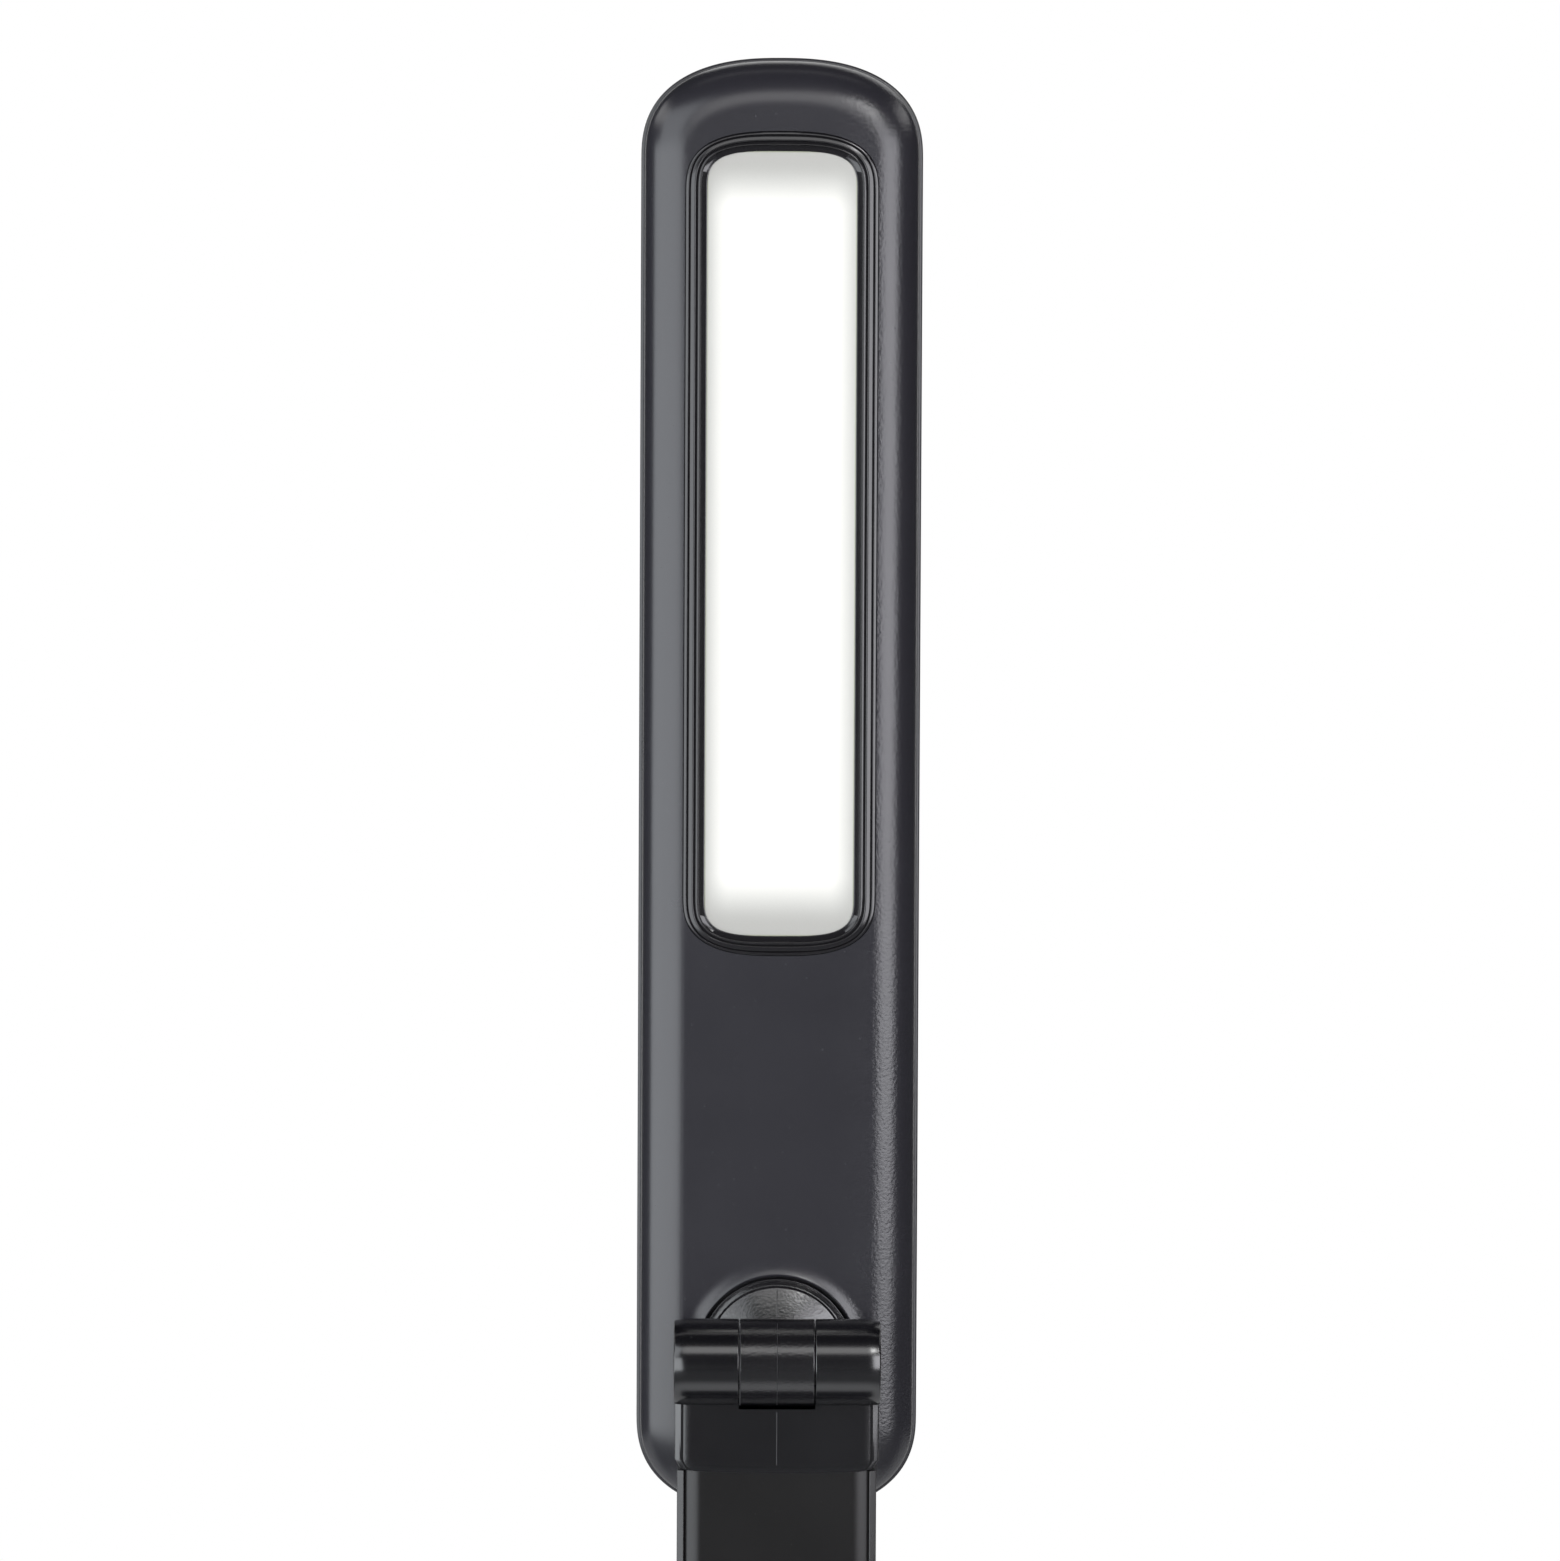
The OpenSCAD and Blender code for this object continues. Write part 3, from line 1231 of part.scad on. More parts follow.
// Connectors along the board's edges, and an inductor, two capacitors and a driver chip
module driver_components() color([0.2, 0.2, 0.22]) {
    translate([0, 0, driver_top]) {
        translate([-connector_w / 2, driver_rear - connector_d, 0])
            cube([connector_w, connector_d, connector_h]);
        translate([-connector_w / 2, driver_rear - driver_d, 0])
            cube([connector_w, connector_d, ribbon_socket_h]);
        translate([lead_x - lead_plug_w / 2, lead_plug_y - connector_d, 0])
            cube([lead_plug_w, connector_d, connector_h]);
        translate([1.5 * coil_d, -driver_y, 0]) cylinder(d = coil_d, h = coil_h);
        for (k = [2.5, 4]) translate([-k * capacitor_d, -driver_y, 0]) cylinder(d = capacitor_d, h = coil_h);
        translate([-driver_chip_w / 2, -driver_y - driver_chip_w / 3, 0])
            cube([driver_chip_w, driver_chip_w / 1.5, driver_chip_w / 6]);
    }
}

// The socket's pin stands in its bore, and its round nose fills the hole in the cover
module dc_jack() color([0.07, 0.07, 0.07]) difference() {
    union() {
        difference() {
            union() {
                translate([-jack_w / 2, jack_back - jack_l, plate_top]) cube([jack_w, jack_l, jack_h]);
                translate([0, jack_back - cut, jack_axis_z]) rotate([-90, 0, 0])
                    cylinder(d = jack_nose_d, h = base_wall + jack_setback + cut - jack_recess);
            }
            translate([0, jack_back - jack_l + jack_floor, jack_axis_z]) rotate([-90, 0, 0])
                cylinder(d = jack_bore_d, h = jack_l + jack_setback + base_wall);
        }
        translate([0, jack_back - jack_l + jack_floor / 2, jack_axis_z]) rotate([-90, 0, 0])
            cylinder(d = jack_pin_d, h = jack_l - jack_floor);
    }
}

module dc_lead() color([0.2, 0.2, 0.2]) {
    level = flange_top + lead_d / 2 + 2 * slip_fit;
    start = jack_back - jack_l;
    turn = lead_d / 1.5;
    wire([
        [jack_w / 3, start, level],
        [jack_w / 3, start - turn, level],
        [lead_x, start - turn, level],
        [lead_x, lead_plug_y + 2 * connector_d, cable_exit_z],
        [lead_x, lead_plug_y, cable_exit_z]
    ], lead_d, [0, 0, 1]);
}

head_front_housing();
head_back_cover();
bezel_frame();
diffuser_panel();
reflector_tray();
led_board();
led_chips();
led_board_screws();
led_connector();
head_harness();
head_screws();
swivel_glide_ring();
swivel_knuckle();
swivel_spring_washer();
swivel_retainer();
retainer_screws();
upper_collar();
lower_collar();
arm_channel();
arm_front_panel();
arm_stiffener();
arm_cable();
arm_panel_screws();
collar_screws();
upper_hinge_bolt();
upper_hinge_nut();
upper_spring_washers();
upper_friction_washers();
upper_left_cap();
upper_right_cap();
lower_hinge_bolt();
lower_hinge_nut();
lower_spring_washers();
lower_friction_washers();
lower_left_cap();
lower_right_cap();
hinge_tower();
tower_screws();
tower_cable();
base_top_cover();
base_bottom_plate();
ballast_plate();
ballast_screws();
base_screws();
rubber_feet();
touch_panel();
touch_board();
touch_springs();
touch_board_screws();
touch_ribbon();
driver_board();
driver_components();
driver_standoffs();
driver_board_screws();
dc_jack();
dc_lead();
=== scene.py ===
"""Looks of the folding LED desk lamp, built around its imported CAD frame.

Pieces are modelled in millimetres in a frame of their own and then placed in the lamp's frame, in
metres. The head's own frame has X across, Y up along the head and Z forward, at the tilt axis.
"""
import json
import math

import bmesh
import bpy
from mathutils import Matrix, Vector

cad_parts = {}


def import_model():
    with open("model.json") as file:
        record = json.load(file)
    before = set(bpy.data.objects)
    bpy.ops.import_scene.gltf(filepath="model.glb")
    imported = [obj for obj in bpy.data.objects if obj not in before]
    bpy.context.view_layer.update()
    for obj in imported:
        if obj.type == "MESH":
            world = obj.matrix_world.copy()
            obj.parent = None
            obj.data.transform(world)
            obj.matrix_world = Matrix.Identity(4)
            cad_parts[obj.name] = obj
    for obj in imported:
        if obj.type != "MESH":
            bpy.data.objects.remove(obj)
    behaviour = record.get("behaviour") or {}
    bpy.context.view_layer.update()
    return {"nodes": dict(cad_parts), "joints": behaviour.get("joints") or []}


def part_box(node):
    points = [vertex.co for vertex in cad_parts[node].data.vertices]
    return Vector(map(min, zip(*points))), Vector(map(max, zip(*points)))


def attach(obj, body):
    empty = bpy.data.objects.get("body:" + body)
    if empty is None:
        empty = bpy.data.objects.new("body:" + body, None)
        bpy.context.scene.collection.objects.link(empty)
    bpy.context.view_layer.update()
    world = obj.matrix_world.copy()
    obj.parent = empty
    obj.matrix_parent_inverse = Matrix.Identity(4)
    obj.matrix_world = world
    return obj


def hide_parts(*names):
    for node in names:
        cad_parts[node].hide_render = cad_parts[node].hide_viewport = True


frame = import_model()

MM = 0.001
CUT = 1.0  # how far a cut runs past the surface it opens
WELD, SLIVER = 1e-5, 1e-6  # points nearer than this are merged, edges shorter than this dissolved

# ------------------------------------------------------------------ sizes, from the frame


def span(node, axis):
    """Lowest and highest place of a CAD node along an axis, in millimetres."""
    low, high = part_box(node)
    return low[axis] / MM, high[axis] / MM


def width(node, axis):
    """A CAD node's size along an axis."""
    low, high = span(node, axis)
    return high - low


def joint_place(name):
    """Where a joint's axis passes, in millimetres."""
    joint = next(j for j in frame["joints"] if j["name"] == name)
    return Vector(joint["pos_m"]) / MM


LOWER, UPPER = joint_place("arm_tilt"), joint_place("head_tilt")
HINGE_Y = UPPER.y

# Levels in the head, measured forward from the tilt axis
FACE = HINGE_Y - span("head_front_housing", 1)[0]
PART = HINGE_Y - span("head_front_housing", 1)[1]
BACK = HINGE_Y - span("head_back_cover", 1)[1]
BEAD = HINGE_Y - span("bezel_frame", 1)[0]
SEAT = HINGE_Y - span("bezel_frame", 1)[1]
LENS = HINGE_Y - span("diffuser_panel", 1)[0]
DISC = BEAD

# Outline of the head: a cap is how far an end curves in, its power how square it is
HEAD_W, HEAD_L = width("head_back_cover", 0), width("head_back_cover", 2)
HEAD_MID = sum(span("head_back_cover", 2)) / 2 - UPPER.z
HEAD_CAP, HEAD_POWER = 21.5, 2.45
RIM_LIP = (HEAD_W - width("head_front_housing", 0)) / 2
RIM_GAP = 0.02  # between the front housing and the back cover's lip
RIM_H = 1.2
SHOULDER_W = 9.8
FACE_GUARD = 0.4  # a ring just inside the shoulder, which keeps the flat face flat in its shading
BACK_ROLL = 4.2
WALL = 1.6
RIM_GROOVE = 0.3
LIP_H = 0.45

# The window, and the bezel's band round it
TUCK, TUCK_END = 0.5, 0.25
LENS_EDGE = 0.15
WINDOW_W, WINDOW_L = width("diffuser_panel", 0) - 2 * TUCK, width("diffuser_panel", 2) - 2 * TUCK_END
WINDOW_MID = sum(span("diffuser_panel", 2)) / 2 - UPPER.z
WINDOW_CAP, WINDOW_POWER = 9.0, 3.6
BEZEL_SIDE, BEZEL_END, BEZEL_ROUNDING = 4.7, 4.25, 0.8
BEZEL_SLOPE = 1.4
BEZEL_LAP = 0.1  # how far the bezel's lip stands clear of the diffuser
WINDOW_RELIEF = 0.6

# The swivel's disc, its pocket in the head and the raised lip round the pocket
DISC_R = width("swivel_knuckle", 0) / 2
DISC_T = 2.5
DISC_DROP = UPPER.z - joint_place("head_swivel").z
DISC_DISH = math.radians(21)
DISC_STEPS = 160
POCKET_R = DISC_R + 0.7
POCKET_GAP = 0.5
POCKET_WALL = 2.0
LIP_W, LIP_RISE, LIP_STEPS = 3.6, 0.85, 16
LIP_CREST, LIP_EASE, LIP_H_BELOW = 0.16, 0.14, 0.3
HUB_R, HUB_LOW, HUB_GAP = 8.0, -16.6, 0.05
SHAFT_R = 4.0

# The hinges' barrels, along X
BARREL_R = width("upper_collar", 1) / 2
BARREL_HALF = width("upper_collar", 0) / 2
KNUCKLE_HALF = 8.0
KNUCKLE_GAP = 0.15
SEAM_W, SEAM_H = 0.20, 0.09
BARREL_EDGE = 0.45
CROWN_L, CROWN_H = 2.6, 0.32
BARREL_STEPS = 128
BURR_STEPS = 220
KNUCKLE_EASE, BORE_EASE = 0.3, 0.25
NECK_H, NECK_EASE = 10.6, 0.6
NECK_INSET = 0.05
NECK_START = 1.5  # past the bolt's bore
RELIEF = 0.9
BOLT_R = 2.55
CAP_DEPTH = 6.0
CAP_R = width("upper_left_cap", 1) / 2 + 0.1

# The arm and the collars at its ends
ARM_HALF = width("arm_channel", 0) / 2
ARM_FRONT = span("arm_channel", 1)[0] - HINGE_Y
ARM_BACK = span("arm_channel", 1)[1] - HINGE_Y
ARM_SIDE, ARM_BACK_WALL = 1.5, 1.8
ARM_BEVEL, ARM_BEVEL_DEPTH = 1.3, 0.585
PANEL_HALF = width("arm_front_panel", 0) / 2
PANEL_T = 1.6
PANEL_GAP = 0.02
EDGE_ROLL_W, EDGE_ROLL_H = 3.6, 0.9
ARM_SCREW_R, ARM_SCREW_SINK = 2.4, 1.05
COLLAR_HALF = 21.75
COLLAR_REACH = UPPER.z - span("arm_channel", 2)[1]
COLLAR_PROUD = 0.2
COLLAR_CORNER, COLLAR_CORNER_W = 2.4, 1.5
COLLAR_BOW = 0.6
COLLAR_TONGUE_HALF, COLLAR_TONGUE_L = 17, 20
FACE_PLATE_HALF, PLATE_ROLL, PLATE_CROWN = 19.9, 1.8, 0.12
PLATE_SINK = 0.15
PLATE_TOP, PLATE_CORNER = -4.0, 2.6

# The base, from its top cover down to the power socket
BASE_W, BASE_D = width("base_top_cover", 0), width("base_top_cover", 1)
BASE_LOW, BASE_TOP = span("base_top_cover", 2)
BASE_CAP, BASE_POWER, BASE_EDGE, BASE_WALL = 32.0, 3.4, 6.0, 2.2
BASE_GAP = 0.3  # round the tower and the touch panel
TOWER_W, TOWER_D, TOWER_CAP, TOWER_EASE = 44.0, 26.0, 13.0, 1.2
TOWER_SINK = 10.0  # how far the column reaches below the cover's top
FLANGE = (-30, -20, 9.6), (30, 20, 12.6)  # corners of the tower's foot under the cover
TOUCH_W, TOUCH_D = width("touch_panel", 0), width("touch_panel", 1)
TOUCH_Y = sum(span("touch_panel", 1)) / 2
TOUCH_LOW, TOUCH_TOP = span("touch_panel", 2)
TOUCH_PITCH, TOUCH_EDGE = 15.0, 0.35
SIGN_LINE, SIGN_INK = 0.45, 0.02
JACK_Z, JACK_HALF = 9.85, 4.5
NOSE_R, BORE_R, PIN_R = 4.0, 3.15, 1.0

# From a piece's own frame to the lamp's; the lower hinge's frame is upside down
LAMP_FRAME = Matrix.Scale(MM, 4)
UPPER_FRAME = Matrix.Translation(UPPER * MM) @ LAMP_FRAME
LOWER_FRAME = Matrix.Translation(LOWER * MM) @ LAMP_FRAME @ Matrix.Scale(-1, 4, (0, 0, 1))
HEAD_FRAME = Matrix.Translation(UPPER * MM) @ Matrix.Rotation(math.pi / 2, 4, "X") @ LAMP_FRAME

# ------------------------------------------------------------------ modelling


def shape(points, faces):
    """A loose mesh object in millimetres, with its faces turned outwards."""
    mesh = bpy.data.meshes.new("shape")
    mesh.from_pydata([tuple(p) for p in points], [], faces)
    work = bmesh.new()
    work.from_mesh(mesh)
    bmesh.ops.remove_doubles(work, verts=work.verts, dist=WELD)
    bmesh.ops.dissolve_degenerate(work, edges=work.edges, dist=SLIVER)
    bmesh.ops.recalc_face_normals(work, faces=work.faces)
    work.to_mesh(mesh)
    work.free()
    piece = bpy.data.objects.new("shape", mesh)
    bpy.context.scene.collection.objects.link(piece)
    return piece


def loft(rings, closed=False):
    """A solid through rings of as many points each; closed joins the last ring to the first."""
    count = len(rings[0])
    points = [p for ring in rings for p in ring]
    total = len(rings)
    faces = []
    for k in range(total if closed else total - 1):
        low, up = k * count, (k + 1) % total * count
        for i in range(count):
            j = (i + 1) % count
            faces.append((low + i, low + j, up + j, up + i))
    if not closed:
        faces.append(tuple(range(count)))
        faces.append(tuple(range((total - 1) * count, total * count)))
    return shape(points, faces)


def level(outline, z):
    """An outline's points at one height."""
    return [(x, y, z) for x, y in outline]


def prism(outline, low, high):
    """An upright solid with the same outline from low to high."""
    return loft([level(outline, low), level(outline, high)])


def turned(profile, steps=96, axis="z", closed=False):
    """A solid of revolution; the profile's points are (radius, height along the axis)."""
    rings = []
    for i in range(steps):
        a = 2 * math.pi * i / steps
        ring = [(r * math.cos(a), r * math.sin(a), h) for r, h in profile]
        if axis == "x":
            ring = [(z, x, y) for x, y, z in ring]
        rings.append(ring)
    count = len(profile)
    points = [p for ring in rings for p in ring]
    faces = []
    for k in range(steps):
        up = (k + 1) % steps
        for i in range(count if closed else count - 1):
            j = (i + 1) % count
            faces.append((k * count + i, k * count + j, up * count + j, up * count + i))
    return shape(points, faces)


def rod(radius, low, high, axis="z", steps=96):
    """A plain round bar, used to cut bores and clearances."""
    return turned([(0, low), (radius, low), (radius, high), (0, high)], steps, axis)


def block(low, high):
    """A box between two opposite corners."""
    return prism([(low[0], low[1]), (high[0], low[1]), (high[0], high[1]), (low[0], high[1])],
                 low[2], high[2])


def settle(piece):
    """Turns a piece's modifiers into its mesh."""
    bpy.context.view_layer.update()
    graph = bpy.context.evaluated_depsgraph_get()
    mesh = bpy.data.meshes.new_from_object(piece.evaluated_get(graph), depsgraph=graph)
    old = piece.data
    piece.modifiers.clear()
    piece.data = mesh
    bpy.data.meshes.remove(old)
    return piece


def combine(piece, operation, *tools):
    """Cuts or joins a piece with each tool in turn, and removes the tools."""
    for tool in tools:
        step = piece.modifiers.new("combine", "BOOLEAN")
        step.operation = operation
        step.solver = "EXACT"
        step.object = tool
        settle(piece)
        bpy.data.objects.remove(tool)
    return piece


def cut(piece, *tools):
    """Cuts the tools out of a piece."""
    return combine(piece, "DIFFERENCE", *tools)


def join(piece, *tools):
    """Makes a piece and the tools one solid."""
    return combine(piece, "UNION", *tools)


def shifted(piece, x=0.0, y=0.0, z=0.0):
    """Moves a piece in its own frame."""
    piece.data.transform(Matrix.Translation((x, y, z)))
    return piece


def eased(piece, size, segments=2, angle=40):
    """Rounds the sharp edges of a piece."""
    step = piece.modifiers.new("edges", "BEVEL")
    step.width = size
    step.segments = segments
    step.limit_method = "ANGLE"
    step.angle_limit = math.radians(angle)
    step.miter_outer = "MITER_ARC"
    return settle(piece)


def place(piece, name, to_lamp, body, slot, finish, stands_for=(), sharp=38):
    """Puts a piece in the lamp's frame, smooths it and gives it its finish and body."""
    piece.name = name
    mesh = piece.data
    mesh.name = name
    mesh.transform(to_lamp)
    if to_lamp.determinant() < 0:
        mesh.flip_normals()
    mesh.shade_smooth()
    mesh.set_sharp_from_angle(angle=math.radians(sharp))
    step = piece.modifiers.new("normals", "WEIGHTED_NORMAL")
    step.keep_sharp = True
    settle(piece)
    piece.data.materials.clear()
    piece.data.materials.append(finish)
    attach(piece, body)
    for node in stands_for:
        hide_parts(node)


def cap_point(half, cap, power, angle):
    """A point of a squared-off ellipse; its points gather at the corners."""
    c, s = math.cos(angle), math.sin(angle)
    x = math.copysign(abs(c) ** (2 / power), c) * half
    y = math.copysign(abs(s) ** (2 / power), s) * cap
    return x, y


def outline(w, l, cap, power, steps=72, mid=0.0):
    """A long outline with straight sides and rounded ends, its length along Y."""
    points = []
    for end in (0, 1):
        for i in range(steps + 1):
            x, y = cap_point(w / 2, cap, power, math.pi * (end + i / steps))
            points.append((x, y + mid + (1 - 2 * end) * (l / 2 - cap)))
    return points


def head_ring(inset, z):
    """The head's outline, moved in by inset, at one height."""
    return level(outline(HEAD_W - 2 * inset, HEAD_L - 2 * inset, HEAD_CAP - inset, HEAD_POWER,
                         mid=HEAD_MID), z)


def band_outline(share, extra=0.0):
    """The window's outline at a share of the bezel's band: 0 is the window, 1 the outer edge."""
    grow_x, grow_y = share * BEZEL_SIDE + extra, share * BEZEL_END + extra
    return outline(WINDOW_W + 2 * grow_x, WINDOW_L + 2 * grow_y, WINDOW_CAP + grow_y,
                   WINDOW_POWER - share * BEZEL_ROUNDING, mid=WINDOW_MID)


def base_ring(inset, z):
    """The base's outline, moved in by inset, at one height."""
    return level(outline(BASE_W - 2 * inset, BASE_D - 2 * inset, BASE_CAP - inset, BASE_POWER), z)


def arc(centre, radius, start, end, steps):
    """Points of a circle's arc between two angles in degrees."""
    return [(centre[0] + radius * math.cos(math.radians(start + (end - start) * i / steps)),
             centre[1] + radius * math.sin(math.radians(start + (end - start) * i / steps)))
            for i in range(steps + 1)]


def rolled(ring, inset, roll_w, low, high, rim=None, steps=24):
    """Rings of a shoulder that rolls in from an upright rim to a flat face, by a quarter circle of
    roll_w unless the rim's height says otherwise."""
    rim = high - low - roll_w if rim is None else rim
    rings = [ring(inset, low)]
    for k in range(steps + 1):
        a = math.pi / 2 * k / steps
        rings.append(ring(inset + roll_w * (1 - math.cos(a)),
                          low + rim + (high - low - rim) * math.sin(a)))
    return rings


# ------------------------------------------------------------------ finishes


class Nodes:
    """Short ways to add nodes to a material's tree or to the world's."""

    def __init__(self, tree, coords):
        self.tree = tree
        self.coords = self.add("TexCoord").outputs[coords]

    def add(self, kind):
        """A new shader node."""
        return self.tree.nodes.new("ShaderNode" + kind)

    def link(self, out, into):
        """Links a node's output to a socket."""
        self.tree.links.new(out, into)

    def fill(self, socket, value):
        """Gives a socket a plain value, a colour or a node's output."""
        if isinstance(value, bpy.types.NodeSocket):
            self.link(value, socket)
        else:
            socket.default_value = (*value, 1) if isinstance(value, tuple) else value

    def rays(self):
        """Outputs that tell camera, glossy and other rays apart."""
        return self.add("LightPath").outputs

    def along(self, axis):
        """A point's coordinate along an axis, in metres for a material."""
        node = self.add("SeparateXYZ")
        self.link(self.coords, node.inputs[0])
        return node.outputs[axis]

    def math(self, operation, a, b=0.0, c=0.0):
        """A sum, product or other operation on values or outputs."""
        node = self.add("Math")
        node.operation = operation
        for value, socket in zip((a, b, c), node.inputs):
            self.fill(socket, value)
        return node.outputs[0]

    def ramp(self, value, low, high, start=0.0, end=1.0):
        """A value that goes smoothly from start to end as another goes from low to high."""
        node = self.add("MapRange")
        node.interpolation_type = "SMOOTHSTEP"
        for key, number in (("From Min", low), ("From Max", high), ("To Min", start), ("To Max", end)):
            node.inputs[key].default_value = number
        self.link(value, node.inputs["Value"])
        return node.outputs["Result"]

    def blend(self, factor, first, second):
        """A colour between two colours or outputs."""
        node = self.add("Mix")
        node.data_type = "RGBA"
        self.link(factor, node.inputs["Factor"])
        self.fill(node.inputs[6], first)
        self.fill(node.inputs[7], second)
        return node.outputs[2]


class Finish(Nodes):
    """A material built from nodes, with its shader and object coordinates at hand."""

    def __init__(self, name, colour, rough, **settings):
        self.material = bpy.data.materials.new(name)
        self.material.use_nodes = True
        super().__init__(self.material.node_tree, "Object")
        self.shader = self.tree.nodes["Principled BSDF"]
        self.shader.inputs["Base Color"].default_value = (*colour, 1)
        self.shader.inputs["Roughness"].default_value = rough
        for key, value in settings.items():
            self.shader.inputs[key.replace("_", " ")].default_value = value
        self.colour = colour

    def feed(self, socket, out):
        """Links a node's output to one of the shader's sockets."""
        self.link(out, self.shader.inputs[socket])

    def around(self, pattern, middle, spread):
        """A value that a pattern varies by half of spread either side of its middle."""
        return self.math("MULTIPLY_ADD", pattern, spread, middle - spread / 2)

    def noise(self, scale, detail=2.0, stretch=(1, 1, 1)):
        """A cloudy pattern that rides on the piece."""
        place = self.add("Mapping")
        place.inputs["Scale"].default_value = stretch
        self.link(self.coords, place.inputs["Vector"])
        node = self.add("TexNoise")
        node.inputs["Scale"].default_value = scale
        node.inputs["Detail"].default_value = detail
        self.link(place.outputs[0], node.inputs["Vector"])
        return node.outputs["Fac"]

    def bump(self, height, depth):
        """Roughens the surface by a pattern, depth metres deep."""
        node = self.add("Bump")
        node.inputs["Distance"].default_value = depth
        self.link(height, node.inputs["Height"])
        self.feed("Normal", node.outputs[0])

    def tinted(self, amount, factor):
        """Two shades either side of the finish's colour."""
        dark = tuple(c * (1 - amount) for c in self.colour)
        light = tuple(c * (1 + amount) for c in self.colour)
        return self.blend(factor, dark, light)


CLOUD_SCALE, DUST_SCALE, PEEL_SCALE = 38.0, 1500.0, 1500.0
DUST_RANGE = (0.785, 0.81)
PEEL_RANGE = (0.006, 0.020)
PLASTIC_GLOSS, METAL_GLOSS = 0.08, 0.24  # how far the roughness varies


def moulded(name, colour, rough, grain=0.000007, grain_scale=2600.0, cloud=0.10, flecks=0.4, peel=0.0,
            **settings):
    """Moulded plastic: a fine grain, soft clouds in its gloss, and a few pale flecks of dust.

    Peel is the depth of an orange-peel texture that grows towards +X, the side far from the gate.
    """
    settings.setdefault("IOR", PLASTIC_IOR)
    finish = Finish(name, colour, rough, **settings)
    clouds = finish.noise(CLOUD_SCALE, 4.0)
    dust = finish.ramp(finish.noise(DUST_SCALE, 1.0), *DUST_RANGE)
    pale = tuple(min(1.0, c + 0.10 * flecks) for c in colour)
    finish.feed("Base Color", finish.blend(dust, finish.tinted(cloud, clouds), pale))
    finish.feed("Roughness", finish.around(clouds, rough, PLASTIC_GLOSS))
    height = finish.noise(grain_scale, 3.0)
    if peel:
        reach = finish.ramp(finish.along("X"), *PEEL_RANGE, 0.0, peel / grain)
        height = finish.math("ADD", height, finish.math("MULTIPLY", finish.noise(PEEL_SCALE, 3.0), reach))
    finish.bump(height, grain)
    return finish.material


def metal(name, colour, rough, scale=900.0, stretch=(1, 1, 1), scratch=0.000004):
    """Plated or brushed metal: a fine brushed grain with small stains in its gloss."""
    finish = Finish(name, colour, rough, Metallic=1.0)
    grain = finish.noise(scale, 4.0, stretch)
    stains = finish.noise(120.0, 3.0)
    finish.feed("Base Color", finish.tinted(0.16, stains))
    finish.feed("Roughness", finish.around(grain, rough, METAL_GLOSS))
    finish.bump(grain, scratch)
    return finish.material


def board(name, colour, trace):
    """A lacquered circuit board with copper areas showing through its mask."""
    finish = Finish(name, colour, 0.4)
    node = finish.add("TexBrick")
    node.inputs["Scale"].default_value = 260.0
    node.inputs["Mortar Size"].default_value = 0.06
    node.inputs["Color1"].default_value = (*colour, 1)
    node.inputs["Color2"].default_value = (*tuple(c * 0.9 for c in colour), 1)
    node.inputs["Mortar"].default_value = (*trace, 1)
    finish.link(finish.coords, node.inputs["Vector"])
    finish.feed("Base Color", node.outputs["Color"])
    finish.bump(finish.noise(700.0), 0.000010)
    return finish.material


def rubber(name, colour):
    """Soft rubber: dull, with a pebbled surface that holds a little dust."""
    finish = Finish(name, colour, 0.85)
    pebbles = finish.noise(1100.0, 2.0)
    dusty = tuple(c + 0.05 for c in colour)
    finish.feed("Base Color", finish.blend(finish.ramp(pebbles, 0.6, 0.8), colour, dusty))
    finish.bump(pebbles, 0.00004)
    return finish.material


def wire_finish(name, colour):
    """A wire's drawn sheath: a slight sheen with fine lines along it."""
    finish = Finish(name, colour, 0.45)
    lines = finish.noise(1800.0, 2.0, (1, 1, 0.05))
    finish.feed("Base Color", finish.tinted(0.2, finish.noise(150.0)))
    finish.bump(lines, 0.00001)
    return finish.material


# The lit window: how far in from each edge its glow fades, in metres, and its brightness
GLOW_SIDE, GLOW_TOP, GLOW_BOTTOM = (-0.0024, 0.0056), (0.0022, 0.0136), (0.0023, 0.0140)
GLOW, GLOW_REST = 0.56, 0.07
GLOW_COOL, GLOW_WARM = (0.96, 1.0, 0.97), (1.0, 0.99, 0.96)
FROSTED, FROSTED_EDGE = (0.4268, 0.4195, 0.3927), (0.3171, 0.3415, 0.2195)
EDGE_LINE = 0.0004


